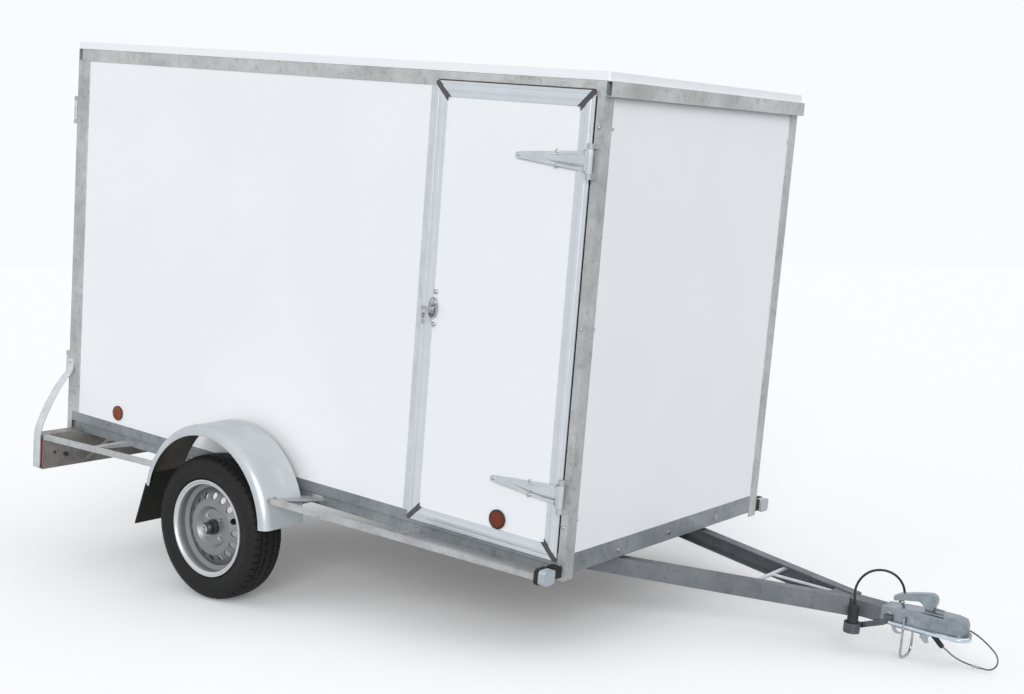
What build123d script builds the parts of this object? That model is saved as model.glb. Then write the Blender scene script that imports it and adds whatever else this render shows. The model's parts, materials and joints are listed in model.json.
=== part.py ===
from build123d import *
import os
from math import asin, atan2, cos, degrees, hypot, radians, sin, tan

os.makedirs("parts", exist_ok=True)

# Enclosed cargo trailer with one axle, a side door and a V drawbar.
# Every piece is drawn level: X forward from the axle, Y to the left, Z up from the wheels' centres.
# The last lines tip the whole trailer nose down until its hoop stands on the ground, as it parks.

# Box: outer faces of the posts, and the heights of the frame's edges
BOX_REAR = -1150.0
BOX_LENGTH = 2620.0
BOX_WIDTH = 1300.0
POST_FOOT = 130.0
SILL_LOW = 177.0
SILL_TOP = 215.0
RAIL_LOW = 1687.0
RAIL_H = 48.0
RAIL_DEPTH = 40.0
RAIL_WALL = 2.5
END_RAIL_DEPTH = 25.0
POST_FACE = 52.0
POST_SIDE = 28.0
STEEL_T = 3.0
PANEL_T = 15.0
FLOOR_T = 15.0
ROOF_H = 28.0
ROOF_T = 14.0
ROOF_LIP = 30.0
ROOF_OVER = 2.0
ROOF_PROUD = 12.0

# Chassis under the floor
CHASSIS_LOW = 134.0
CHASSIS_IN = 12.0
CHASSIS_FLANGE = 40.0
END_SILL_LOW = 150.0
END_SILL_LIP = 30.0
CROSS_W = 40.0
CROSS_X = [
    BOX_REAR + 90.0, -600.0, -60.0, 420.0,
    BOX_REAR + BOX_LENGTH - 460.0, BOX_REAR + BOX_LENGTH - 90.0,
]

# Wheels and axle
TYRE_R = 273.0
TYRE_W = 155.0
WHEEL_OUT = 150.0
RIM_R = 182.5
RIM_W = 138.0
RIM_WALL = 4.0
RIM_SEAT_R = RIM_R - 16.5
RIM_WELL_R = RIM_SEAT_R - 18.0
DISC_FACE = 30.0
VENT_COUNT = 16
VENT_R = 12.0
VENT_RING_R = 119.0
BOLT_RING_R = 50.0
BOLT_HOLE_R = 6.5
BORE_R = 29.0
SPINDLE_R = 15.0
RUN_GAP = 0.1
AXLE_X = 130.0
AXLE_SIDE = 60.0
AXLE_WALL = 4.0
ARM_T = 30.0
AXLE_IN = 10.0

# Drawbar and coupling
BEAM_H = 60.0
BEAM_WALL = 4.0
BEAM_FLANGE = 40.0
BEAM_TAIL_X = 1000.0
SILL_HALF = 290.0
HEAD_X = 2195.0
HEAD_HALF = 45.0
HEAD_BACK = 85.0
HEAD_AHEAD = 235.0
HEAD_WALL = 4.0
COUPLING_HALF = 36.0
COUPLING_WALL = 4.0
FLANGE_OUT = 4.0
BALL_R = 25.0
HOOP_X = HEAD_X + 190.0
HOOP_LOW = -21.0
HOOP_ROD = 8.0
CROSS_ROD_BACK = 320.0
CROSS_ROD_R = 7.0
CROSS_ROD_UP = 15.0
BRACE_R = 5.0
BRACE_Y = 22.0

# Doors
DOOR_WIDTH = 644.0
DOOR_SET = 32.0
MITRE = 13.0
DOOR_LOW = 190.0
DOOR_HIGH = 1703.0
DOOR_PROUD = 8.0
DOOR_FLANGE_T = 7.0
DOOR_DEEP = 22.0
DOOR_BAR = 52.0
DOOR_GAP = 5.0
LEAF_GAP = 3.0
HINGE_Z = [411.0, 1484.0]
HINGE_PIN_R = 5.0
HINGE_BARREL_R = 11.0
HINGE_BARREL_H = 78.0
HINGE_OUT = 20.0
HINGE_LONG = 274.0
HINGE_TALL = 72.0
HINGE_T = 3.0
LOCK_IN = 54.0
LOCK_Z = 941.0

# Mudguards, guard rails and lamps
GUARD_R = 343.0
GUARD_SKIRT = 37.0
GUARD_ROUND = 33.0
GUARD_T = 2.0
GUARD_IN = 56.0
GUARD_WIDTH = 247.0
GUARD_RISE = 48.0
GUARD_FROM = 4.0
GUARD_TO = 170.0
ARM_ROOT_Z = 158.0
ARM_TIP_Z = 184.0
FLAP_IN = 62.0
FLAP_TONGUE = 148.0
FLAP_W = 172.0
FLAP_DROP = 174.0
BOARD_OUT = 188.0
BOARD_FRONT = -1052.0
BOARD_DEEP = 60.0
BOARD_LOW = 0.0
BOARD_EAR = 12.0
LAMP_DEEP = 46.0
STRAP_W = 44.0
STRAP_T = 5.0
STRAP_TOP = 442.0
STRAP_BEND = 190.0
RAIL_BAR = 20.0
MARKER_OUT = 77.0
MARKER_Z = 157.0
REFLECTOR_R = 30.0
DOOR_REFLECTOR_R = 33.0
REFLECTOR_Z = 262.0
REFLECTOR_T = 7.0
REFLECTOR_IN = 335.0
DOOR_REFLECTOR_IN = 396.0
REFLECTOR_STEP = 14.0

# Values that follow from the sizes above
HALF = BOX_WIDTH / 2
HEAD_REAR = HEAD_X - HEAD_BACK
HEAD_FRONT = HEAD_X + HEAD_AHEAD
HEAD_SIDE = 2 * (COUPLING_HALF - COUPLING_WALL) - 0.6
COUPLING_REAR = HEAD_X + 107.0
BALL_X = COUPLING_REAR + 243.0
CROSS_ROD_X = HEAD_X - CROSS_ROD_BACK
BOX_FRONT = BOX_REAR + BOX_LENGTH
RAIL_TOP = RAIL_LOW + RAIL_H
FLOOR_TOP = SILL_TOP - 2.0
FLOOR_LOW = FLOOR_TOP - FLOOR_T
CROSS_LOW = CHASSIS_LOW + STEEL_T
BEAM_LOW = CROSS_LOW - BEAM_H
BOARD_TOP = CHASSIS_LOW
WHEEL_Y = HALF + WHEEL_OUT
GUARD_HALF = HALF + GUARD_WIDTH
BOARD_HALF = HALF + BOARD_OUT
AXLE_HALF = HALF - AXLE_IN
MARKER_HALF = HALF + MARKER_OUT
DOOR_FRONT = BOX_FRONT - DOOR_SET
DOOR_REAR = DOOR_FRONT - DOOR_WIDTH
LOCK_X = DOOR_REAR + LOCK_IN
REFLECTOR_X = BOX_REAR + REFLECTOR_IN
DOOR_REFLECTOR_X = DOOR_REAR + DOOR_REFLECTOR_IN
SKIN = HALF - STEEL_T
DOOR_POST_X = DOOR_REAR - 26.0
DOOR_POST_W = 44.0
BEAM_FACE = HALF - CHASSIS_IN
PARK = degrees(asin(TYRE_R / hypot(HOOP_X, HOOP_LOW)) + atan2(HOOP_LOW, HOOP_X))

PIECES = []


def finish(builder, name):
    """Labels a finished piece and keeps it for the export."""
    builder.part.label = name
    PIECES.append(builder)


# Folded side sills, with the chassis beam set back below, and the end sills between the posts
with BuildPart() as sills:
    with BuildSketch(Plane.YZ.offset(BOX_REAR + POST_SIDE)) as sill_profile:
        with BuildLine():
            Polyline(
                (-HALF, SILL_TOP), (-HALF, SILL_LOW), (-HALF + CHASSIS_IN, SILL_LOW),
                (-HALF + CHASSIS_IN, CHASSIS_LOW), (-HALF + CHASSIS_IN + CHASSIS_FLANGE, CHASSIS_LOW),
                (-HALF + CHASSIS_IN + CHASSIS_FLANGE, CHASSIS_LOW + STEEL_T),
                (-HALF + CHASSIS_IN + STEEL_T, CHASSIS_LOW + STEEL_T),
                (-HALF + CHASSIS_IN + STEEL_T, SILL_LOW + STEEL_T), (-SKIN, SILL_LOW + STEEL_T),
                (-SKIN, SILL_TOP), close=True,
            )
        make_face()
    extrude(amount=BOX_LENGTH - 2 * POST_SIDE)
    with BuildSketch(Plane.XZ.offset(-(HALF - POST_FACE))) as end_sill_profile:
        with BuildLine():
            Polyline(
                (BOX_FRONT, SILL_TOP + 1), (BOX_FRONT, END_SILL_LOW),
                (BOX_FRONT - END_SILL_LIP, END_SILL_LOW),
                (BOX_FRONT - END_SILL_LIP, END_SILL_LOW + STEEL_T),
                (BOX_FRONT - STEEL_T, END_SILL_LOW + STEEL_T), (BOX_FRONT - STEEL_T, SILL_TOP + 1),
                close=True,
            )
        make_face()
        with BuildLine():
            Polyline(
                (BOX_REAR, SILL_TOP), (BOX_REAR, END_SILL_LOW), (BOX_REAR + END_SILL_LIP, END_SILL_LOW),
                (BOX_REAR + END_SILL_LIP, END_SILL_LOW + STEEL_T),
                (BOX_REAR + STEEL_T, END_SILL_LOW + STEEL_T), (BOX_REAR + STEEL_T, SILL_TOP), close=True,
            )
        make_face()
    extrude(amount=BOX_WIDTH - 2 * POST_FACE)
    mirror(about=Plane.XZ)
finish(sills, "sills")

# Cross members between the chassis beams
CROSS_HALF = HALF - CHASSIS_IN - STEEL_T
with BuildPart() as cross_members:
    for x in CROSS_X:
        with BuildSketch(Plane.XZ.offset(-CROSS_HALF)):
            with BuildLine():
                Polyline(
                    (x, FLOOR_LOW), (x + CROSS_W, FLOOR_LOW), (x + CROSS_W, FLOOR_LOW - STEEL_T),
                    (x + STEEL_T, FLOOR_LOW - STEEL_T), (x + STEEL_T, CROSS_LOW + STEEL_T),
                    (x + CROSS_W, CROSS_LOW + STEEL_T), (x + CROSS_W, CROSS_LOW), (x, CROSS_LOW), close=True,
                )
            make_face()
        extrude(amount=2 * CROSS_HALF)
finish(cross_members, "cross_members")

# Floor board
with BuildPart() as floor_panel:
    with BuildSketch(Plane.XY.offset(FLOOR_LOW)):
        with Locations((BOX_REAR + BOX_LENGTH / 2, 0)):
            Rectangle(BOX_LENGTH - 2 * STEEL_T, 2 * SKIN)
    extrude(amount=FLOOR_T)
finish(floor_panel, "floor_panel")

# Roof: a flat board with a raised edge cap all round
with BuildPart() as roof_panel:
    with BuildSketch(Plane.XY.offset(RAIL_TOP)):
        with Locations((BOX_REAR + (BOX_LENGTH + ROOF_PROUD) / 2, 0)):
            RectangleRounded(BOX_LENGTH + ROOF_PROUD, BOX_WIDTH + 2 * ROOF_OVER, 8)
    extrude(amount=ROOF_H)
    with BuildSketch(Plane.XY.offset(RAIL_TOP + ROOF_T)):
        with Locations((BOX_REAR + (BOX_LENGTH + ROOF_PROUD) / 2, 0)):
            RectangleRounded(BOX_LENGTH + ROOF_PROUD - 2 * ROOF_LIP, BOX_WIDTH - 2 * ROOF_LIP, 6)
    extrude(amount=ROOF_H, mode=Mode.SUBTRACT)
finish(roof_panel, "roof_panel")

# Four corner posts, each a folded angle
with BuildPart() as corner_posts:
    with BuildSketch(Plane.XY.offset(POST_FOOT)):
        with BuildLine():
            Polyline(
                (BOX_FRONT, -HALF), (BOX_FRONT, -HALF + POST_FACE), (BOX_FRONT - STEEL_T, -HALF + POST_FACE),
                (BOX_FRONT - STEEL_T, -SKIN), (BOX_FRONT - POST_SIDE, -SKIN), (BOX_FRONT - POST_SIDE, -HALF),
                close=True,
            )
        make_face()
        with BuildLine():
            Polyline(
                (BOX_REAR, -HALF), (BOX_REAR, -HALF + POST_FACE), (BOX_REAR + STEEL_T, -HALF + POST_FACE),
                (BOX_REAR + STEEL_T, -SKIN), (BOX_REAR + POST_SIDE, -SKIN), (BOX_REAR + POST_SIDE, -HALF),
                close=True,
            )
        make_face()
    extrude(amount=RAIL_LOW - POST_FOOT)
    mirror(about=Plane.XZ)
finish(corner_posts, "corner_posts")

# The post on the far side of the side door's opening
with BuildPart() as door_post:
    with BuildSketch(Plane.XY.offset(SILL_TOP)):
        with BuildLine():
            Polyline(
                (DOOR_POST_X, -HALF), (DOOR_POST_X + DOOR_POST_W, -HALF), (DOOR_POST_X + DOOR_POST_W, -SKIN),
                (DOOR_POST_X + STEEL_T, -SKIN), (DOOR_POST_X + STEEL_T, -SKIN + PANEL_T + 20),
                (DOOR_POST_X, -SKIN + PANEL_T + 20), close=True,
            )
        make_face()
    extrude(amount=RAIL_LOW - SILL_TOP)
finish(door_post, "door_post")

# Top rails: two hollow side rails between two hollow end rails with open ends
with BuildPart() as top_rails:
    with BuildSketch(Plane.YZ.offset(BOX_REAR + END_RAIL_DEPTH)):
        with Locations((-HALF + RAIL_DEPTH / 2, RAIL_LOW + RAIL_H / 2)):
            Rectangle(RAIL_DEPTH, RAIL_H)
            Rectangle(RAIL_DEPTH - 2 * RAIL_WALL, RAIL_H - 2 * RAIL_WALL, mode=Mode.SUBTRACT)
    extrude(amount=BOX_LENGTH - END_RAIL_DEPTH)
    mirror(about=Plane.XZ)
    with BuildSketch(Plane.XZ.offset(-HALF)):
        with Locations(
            (BOX_REAR + END_RAIL_DEPTH / 2, RAIL_LOW + RAIL_H / 2),
            (BOX_FRONT + END_RAIL_DEPTH / 2, RAIL_LOW + RAIL_H / 2),
        ):
            Rectangle(END_RAIL_DEPTH, RAIL_H)
            Rectangle(END_RAIL_DEPTH - 2 * RAIL_WALL, RAIL_H - 2 * RAIL_WALL, mode=Mode.SUBTRACT)
    extrude(amount=BOX_WIDTH)
finish(top_rails, "top_rails")

# White wall boards behind the posts and sills
with BuildPart() as side_panel_right:
    with BuildSketch(Plane.XZ.offset(SKIN - PANEL_T)):
        with BuildLine():
            Polyline(
                (BOX_REAR + STEEL_T, FLOOR_TOP), (DOOR_POST_X, FLOOR_TOP), (DOOR_POST_X, RAIL_LOW),
                (BOX_REAR + STEEL_T, RAIL_LOW), close=True,
            )
        make_face()
    extrude(amount=PANEL_T)
finish(side_panel_right, "side_panel_right")

with BuildPart() as side_panel_left:
    with BuildSketch(Plane.XZ.offset(-SKIN)):
        with BuildLine():
            Polyline(
                (BOX_REAR + STEEL_T, FLOOR_TOP), (BOX_FRONT - STEEL_T, FLOOR_TOP),
                (BOX_FRONT - STEEL_T, RAIL_LOW), (BOX_REAR + STEEL_T, RAIL_LOW), close=True,
            )
        make_face()
    extrude(amount=PANEL_T)
finish(side_panel_left, "side_panel_left")

with BuildPart() as front_panel:
    with BuildSketch(Plane.YZ.offset(BOX_FRONT - STEEL_T - PANEL_T)):
        with BuildLine():
            Polyline(
                (-SKIN, FLOOR_TOP), (SKIN - PANEL_T, FLOOR_TOP), (SKIN - PANEL_T, RAIL_LOW),
                (HALF - RAIL_DEPTH, RAIL_LOW), (HALF - RAIL_DEPTH, RAIL_TOP), (-HALF + RAIL_DEPTH, RAIL_TOP),
                (-HALF + RAIL_DEPTH, RAIL_LOW), (-SKIN, RAIL_LOW), close=True,
            )
        make_face()
    extrude(amount=PANEL_T)
finish(front_panel, "front_panel")

# Torsion axle: square tube under the chassis, trailing arms and spindles
AXLE_Z = CHASSIS_LOW - AXLE_SIDE / 2
with BuildPart() as axle:
    with BuildSketch(Plane.XZ.offset(-AXLE_HALF)):
        with Locations((AXLE_X, AXLE_Z)):
            Rectangle(AXLE_SIDE, AXLE_SIDE)
            Rectangle(AXLE_SIDE - 2 * AXLE_WALL, AXLE_SIDE - 2 * AXLE_WALL, mode=Mode.SUBTRACT)
    extrude(amount=2 * AXLE_HALF)
    with BuildSketch(Plane.XZ.offset(AXLE_HALF)):
        with Locations((AXLE_X, AXLE_Z)):
            Circle(38)
        with Locations((0, 0)):
            Circle(32)
        make_hull()
    extrude(amount=ARM_T)
    with BuildSketch(Plane.XZ.offset(AXLE_HALF + ARM_T)):
        Circle(24)
    extrude(amount=62)
    with BuildSketch(Plane.XZ.offset(AXLE_HALF + ARM_T + 62)):
        Circle(SPINDLE_R)
    extrude(amount=110)
    mirror(about=Plane.XZ)
finish(axle, "axle")

# Drawbar: two channels with their open sides inward, meeting at the head tube
BEAM_ANGLE = atan2(SILL_HALF - HEAD_HALF, HEAD_X - BOX_FRONT)
BEAM_LONG = (HEAD_X - BEAM_TAIL_X) / cos(BEAM_ANGLE)
BEAM_MID = BEAM_LOW + BEAM_H / 2
beam_plane = Plane(
    origin=(HEAD_X, -HEAD_HALF, BEAM_MID),
    x_dir=(-sin(BEAM_ANGLE), cos(BEAM_ANGLE), 0),
    z_dir=(-cos(BEAM_ANGLE), -sin(BEAM_ANGLE), 0),
)
with BuildPart() as drawbar_beams:
    with BuildSketch(beam_plane):
        with BuildLine():
            Polyline(
                (0, -BEAM_H / 2), (BEAM_FLANGE, -BEAM_H / 2), (BEAM_FLANGE, -BEAM_H / 2 + BEAM_WALL),
                (BEAM_WALL, -BEAM_H / 2 + BEAM_WALL), (BEAM_WALL, BEAM_H / 2 - BEAM_WALL),
                (BEAM_FLANGE, BEAM_H / 2 - BEAM_WALL), (BEAM_FLANGE, BEAM_H / 2), (0, BEAM_H / 2),
                close=True,
            )
        make_face()
    extrude(amount=BEAM_LONG)
    mirror(about=Plane.XZ)
finish(drawbar_beams, "drawbar_beams")


def beam_outer(x):
    """Half width over the drawbar's outer faces at a place along X."""
    return HEAD_HALF + (HEAD_X - x) * tan(BEAM_ANGLE)


# Cross rod and the rod that runs from it to the head tube
HEAD_Z = BEAM_MID
HEAD_TALL = BEAM_H - 2 * BEAM_WALL
with BuildPart() as drawbar_braces:
    rod_half = beam_outer(CROSS_ROD_X + CROSS_ROD_R) - BEAM_WALL / cos(BEAM_ANGLE) - 0.3
    with BuildSketch(Plane.XZ.offset(-rod_half)):
        with Locations((CROSS_ROD_X, HEAD_Z + CROSS_ROD_UP)):
            Circle(CROSS_ROD_R)
    extrude(amount=2 * rod_half)
    with BuildSketch(Plane.YZ.offset(CROSS_ROD_X)):
        with Locations((BRACE_Y, HEAD_Z + CROSS_ROD_UP)):
            Circle(BRACE_R)
    extrude(amount=HEAD_REAR - CROSS_ROD_X)
finish(drawbar_braces, "drawbar_braces")

# Head tube between the channels' flanges
with BuildPart() as head_tube:
    with BuildSketch(Plane.YZ.offset(HEAD_REAR)):
        with Locations((0, HEAD_Z)):
            Rectangle(HEAD_SIDE, HEAD_TALL)
    extrude(amount=HEAD_FRONT - HEAD_REAR)
    with BuildSketch(Plane.YZ.offset(HEAD_REAR + HEAD_WALL)):
        with Locations((0, HEAD_Z)):
            Rectangle(HEAD_SIDE - 2 * HEAD_WALL, HEAD_TALL - 2 * HEAD_WALL)
    extrude(amount=HEAD_FRONT - HEAD_REAR, mode=Mode.SUBTRACT)
finish(head_tube, "head_tube")

# Pressed coupling housing with a lip along its lower edge, open below, and the ball cup at its nose
HEAD_TOP = HEAD_Z + HEAD_TALL / 2
HEAD_LOW = HEAD_Z - HEAD_TALL / 2
CABLE_X = COUPLING_REAR + 144.0
CABLE_Z = HEAD_LOW + 20
CABLE_LUG_R = 6.0
NOSE_R = COUPLING_HALF
NOSE_LIP = 9.0
CUP_TALL = 32.0
COUPLING_UPPER = [
    # distance from the rear edge, height over the head tube's underside
    (0, 56), (143, 73), (235, 75), (262, 69), (278, 53), (284, 30),
]
COUPLING_LOWER = [(284, 21), (168, 15), (68, 13), (0, 8)]


def coupling_side(rows, rise):
    """Side view points of the housing, moved up or down."""
    return [(COUPLING_REAR + x, HEAD_LOW + z + rise) for x, z in rows]


with BuildPart() as coupling_void:
    with BuildSketch(Plane.XY.offset(HEAD_LOW - 20)):
        with Locations((COUPLING_REAR + 101, 0)):
            Rectangle(206, 2 * (COUPLING_HALF - COUPLING_WALL))
    extrude(amount=140)
    with BuildSketch(Plane.XZ.offset(-COUPLING_HALF)):
        with BuildLine():
            Polyline(
                *coupling_side([(-10, 52.6), (0, 52.6), (143, 69), (235, 71), (235, -20), (-10, -20)], 0),
                close=True,
            )
        make_face()
    extrude(amount=2 * COUPLING_HALF, mode=Mode.INTERSECT)

with BuildPart() as coupling_lip:
    with BuildSketch(Plane.XY.offset(HEAD_LOW - 20)):
        with Locations(((COUPLING_REAR + BALL_X) / 2, 0)):
            Rectangle(BALL_X - COUPLING_REAR, 2 * (COUPLING_HALF + FLANGE_OUT))
        with Locations((BALL_X, 0)):
            Circle(NOSE_R + NOSE_LIP)
        with Locations((COUPLING_REAR + 101, 0)):
            Rectangle(206, 2 * (COUPLING_HALF - COUPLING_WALL), mode=Mode.SUBTRACT)
    extrude(amount=140)
    with BuildSketch(Plane.XZ.offset(-80)):
        with BuildLine():
            Polyline(
                *coupling_side([(300, 22)] + COUPLING_LOWER[1:], 0),
                *coupling_side([(0, 8), (68, 13), (168, 15), (300, 22)], COUPLING_WALL), close=True,
            )
        make_face()
    extrude(amount=160, mode=Mode.INTERSECT)

with BuildPart() as coupling_housing:
    with BuildSketch(Plane.XY.offset(HEAD_LOW - 20)):
        with Locations(((COUPLING_REAR + BALL_X) / 2, 0)):
            Rectangle(BALL_X - COUPLING_REAR, 2 * COUPLING_HALF)
        with Locations((BALL_X, 0)):
            Circle(NOSE_R)
    extrude(amount=140)
    with BuildSketch(Plane.XZ.offset(-80)):
        with BuildLine():
            Polyline(*coupling_side(COUPLING_UPPER + COUPLING_LOWER, 0), close=True)
        make_face()
    extrude(amount=160, mode=Mode.INTERSECT)
    with BuildSketch(Plane.YZ.offset(COUPLING_REAR - 5)):
        with BuildLine():
            FilletPolyline(
                (-COUPLING_HALF, HEAD_LOW - 20), (-COUPLING_HALF, HEAD_LOW + 58),
                (-COUPLING_HALF + 10, HEAD_LOW + 80), (COUPLING_HALF - 10, HEAD_LOW + 80),
                (COUPLING_HALF, HEAD_LOW + 58), (COUPLING_HALF, HEAD_LOW - 20), radius=8, close=True,
            )
        make_face()
    extrude(amount=320, mode=Mode.INTERSECT)
    add(coupling_void.part, mode=Mode.SUBTRACT)
    add(coupling_lip.part)
    with BuildSketch(Plane.XY.offset(HEAD_LOW)):
        with Locations((BALL_X, 0)):
            Circle(BALL_R + 1)
    extrude(amount=21 + CUP_TALL, mode=Mode.SUBTRACT)
    with BuildSketch(Plane.XZ.offset(-COUPLING_HALF - 11)):
        with Locations((CABLE_X, CABLE_Z + 3)):
            Circle(CABLE_LUG_R)
    extrude(amount=11)
finish(coupling_housing, "coupling_housing")

# Hand lever above the housing, with the stub of its catch
with BuildPart() as coupling_handle:
    with BuildSketch(Plane.XZ.offset(-13)):
        with BuildLine():
            Polyline(
                *coupling_side([
                    (30, 77), (27, 84), (29, 94), (41, 102), (90, 116), (136, 127), (150, 128), (162, 124),
                    (169, 113), (168, 98), (159, 73.9), (135, 73.2), (130, 84), (114, 95), (60, 85),
                    (42, 79),
                ], 0), close=True,
            )
        make_face()
    extrude(amount=26)
    with BuildSketch(Plane.YZ.offset(COUPLING_REAR + 158)):
        with Locations((0, HEAD_LOW + 81)):
            RectangleRounded(8, 7, 3)
    extrude(amount=35)
finish(coupling_handle, "coupling_handle")

# The hoop that the parked trailer stands on, bent from round rod, and the plug's parking socket
PLUG_X = HEAD_X + 25.0
PLUG_Y = -62.0
PLUG_LOW = 33.0
hoop_half = COUPLING_HALF + FLANGE_OUT + HOOP_ROD / 2 + 0.3
with BuildPart() as rest_hoop:
    with BuildLine() as hoop_line:
        FilletPolyline(
            (HOOP_X, -hoop_half, HEAD_LOW + 40), (HOOP_X, -hoop_half, HOOP_LOW + HOOP_ROD / 2),
            (HOOP_X, hoop_half, HOOP_LOW + HOOP_ROD / 2), (HOOP_X, hoop_half, HEAD_LOW + 40), radius=28,
        )
    with BuildSketch(Plane(origin=(HOOP_X, -hoop_half, HEAD_LOW + 40), z_dir=(0, 0, -1))):
        Circle(HOOP_ROD / 2)
    sweep()
finish(rest_hoop, "rest_hoop")

with BuildPart() as plug_holder:
    with BuildSketch(Plane.XY.offset(PLUG_LOW)):
        with Locations((PLUG_X, PLUG_Y)):
            Circle(27)
    extrude(amount=33)
    with BuildSketch(Plane.XY.offset(PLUG_LOW + 4)):
        with Locations((PLUG_X, PLUG_Y)):
            Circle(21)
    extrude(amount=40, mode=Mode.SUBTRACT)
    with BuildSketch(Plane.XZ.offset(COUPLING_HALF + FLANGE_OUT + 0.3)):
        with BuildLine():
            Polyline(
                (PLUG_X + 13, PLUG_LOW + 14), (PLUG_X + 13, PLUG_LOW + 31),
                (COUPLING_REAR + 14, HEAD_LOW + 16),
                (COUPLING_REAR + 14, HEAD_LOW + 34), (COUPLING_REAR + 42, HEAD_LOW + 34),
                (COUPLING_REAR + 42, HEAD_LOW + 18), (COUPLING_REAR + 18, HEAD_LOW - 2),
                (PLUG_X + 20, PLUG_LOW + 14), close=True,
            )
        make_face()
    extrude(amount=3.4)
finish(plug_holder, "plug_holder")

with BuildPart() as plug:
    with BuildSketch(Plane.XZ.offset(-PLUG_Y)):
        with BuildLine():
            Polyline(
                (PLUG_X, PLUG_LOW + 4), (PLUG_X + 20.5, PLUG_LOW + 4), (PLUG_X + 20.5, PLUG_LOW + 33),
                (PLUG_X + 18, PLUG_LOW + 34), (PLUG_X + 18, PLUG_LOW + 84), (PLUG_X + 12, PLUG_LOW + 92),
                (PLUG_X + 7, PLUG_LOW + 94), (PLUG_X + 6, PLUG_LOW + 103), (PLUG_X, PLUG_LOW + 103),
                close=True,
            )
        make_face()
    revolve(axis=Axis((PLUG_X, PLUG_Y, 0), (0, 0, 1)))
finish(plug, "plug")


def cord_radii(points, share=0.45):
    """Largest tangent arcs that the runs beside each corner leave room for."""
    radii = []
    for before, here, after in zip(points, points[1:], points[2:]):
        one = Vector(*here) - Vector(*before)
        two = Vector(*after) - Vector(*here)
        turn = radians(one.get_angle(two))
        radii.append(share * min(one.length, two.length) / tan(turn / 2))
    return radii


# The lead: up from the plug, over in an arch, down behind the lever and back along the left channel
LEAD_R = 4.0
LEAD_POINTS = [
    (PLUG_X, PLUG_Y, PLUG_LOW + 103), (PLUG_X - 7, -61, 172), (PLUG_X + 8, -55, 218),
    (PLUG_X + 38, -44, 247),
    (PLUG_X + 74, -26, 254), (PLUG_X + 104, -4, 241), (PLUG_X + 122, 18, 212), (PLUG_X + 126, 38, 177),
    (PLUG_X + 117, 52, 145), (PLUG_X + 92, 59, 121), (PLUG_X + 50, 62, 110), (PLUG_X - 14, 66, 104),
]
for k in range(1, 8):
    LEAD_POINTS.append((HEAD_X - 91 * k, beam_outer(HEAD_X - 91 * k) + 9 + 4 * (k % 2), 106 - 5 * (k % 2)))
LEAD_RADII = cord_radii(LEAD_POINTS)
with BuildPart() as trailer_lead:
    with BuildLine() as lead_line:
        FilletPolyline(*LEAD_POINTS, radius=LEAD_RADII)
    with BuildSketch(Plane(origin=LEAD_POINTS[0], z_dir=Vector(*LEAD_POINTS[1]) - Vector(*LEAD_POINTS[0]))):
        Circle(LEAD_R)
    sweep()
finish(trailer_lead, "trailer_lead")

# The safety cable: a loop of thin steel rope that hangs in front of the nose
CABLE_R = 2.5
HOOK_X = COUPLING_REAR + 210.0
HOOK_Y = 2 - COUPLING_HALF
HOOK_LOW = 56.0
hook_centre = Vector(HOOK_X, HOOK_Y, HOOK_LOW + 5)
hook_end = tuple(hook_centre + (Vector(BALL_X - 15, -31, 50) - hook_centre).normalized() * 8.4)
CABLE_POINTS = [
    (CABLE_X + CABLE_LUG_R + 0.3, COUPLING_HALF + 8, CABLE_Z + 3),
    (CABLE_X + 44, COUPLING_HALF + 9, CABLE_Z + 5),
    (BALL_X - 16, COUPLING_HALF + 14, CABLE_Z + 8), (BALL_X + 20, COUPLING_HALF + 11, CABLE_Z + 8),
    (BALL_X + 50, 32, CABLE_Z + 5), (BALL_X + 81, 15, 99), (BALL_X + 112, 0, 87), (BALL_X + 139, -10, 69),
    (BALL_X + 143, -15, 42), (BALL_X + 125, -18, 21.5), (BALL_X + 95, -19, 20.5), (BALL_X + 64, -20, 21.5),
    (BALL_X + 34, -22, 25.5), (BALL_X + 7, -26, 34.5), (BALL_X - 15, -31, 50),
    hook_end,
]
CABLE_RADII = cord_radii(CABLE_POINTS)
with BuildPart() as safety_cable:
    with BuildLine() as cable_line:
        FilletPolyline(*CABLE_POINTS, radius=CABLE_RADII)
    cable_way = Vector(*CABLE_POINTS[1]) - Vector(*CABLE_POINTS[0])
    with BuildSketch(Plane(origin=CABLE_POINTS[0], z_dir=cable_way)):
        Circle(CABLE_R)
    sweep()
finish(safety_cable, "safety_cable")

# The black hook on the cable's end, hung under the housing's right edge
with BuildPart() as cable_hook:
    with BuildSketch(Plane.XZ.offset(-HOOK_Y - 4)):
        with BuildLine():
            Polyline(
                (HOOK_X - 50, HEAD_LOW + 14.3), (HOOK_X - 28, HEAD_LOW + 15.2), (HOOK_X + 5, HOOK_LOW + 9),
                (HOOK_X - 5, HOOK_LOW - 1), close=True,
            )
        make_face()
    extrude(amount=8)
    with Locations((HOOK_X, HOOK_Y, HOOK_LOW + 5)):
        Sphere(8)
finish(cable_hook, "cable_hook")

for name, radii, builder, rod, line in (
    ("trailer_lead", LEAD_RADII, trailer_lead, LEAD_R, lead_line),
    ("safety_cable", CABLE_RADII, safety_cable, CABLE_R, cable_line),
):
    long = sum(edge.length for edge in line.edges())
    print(name, "length", round(long, 1), "radii", [round(r, 1) for r in radii],
          "volume ratio", round(builder.part.volume / (3.14159265 * rod * rod * long), 5))

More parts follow.
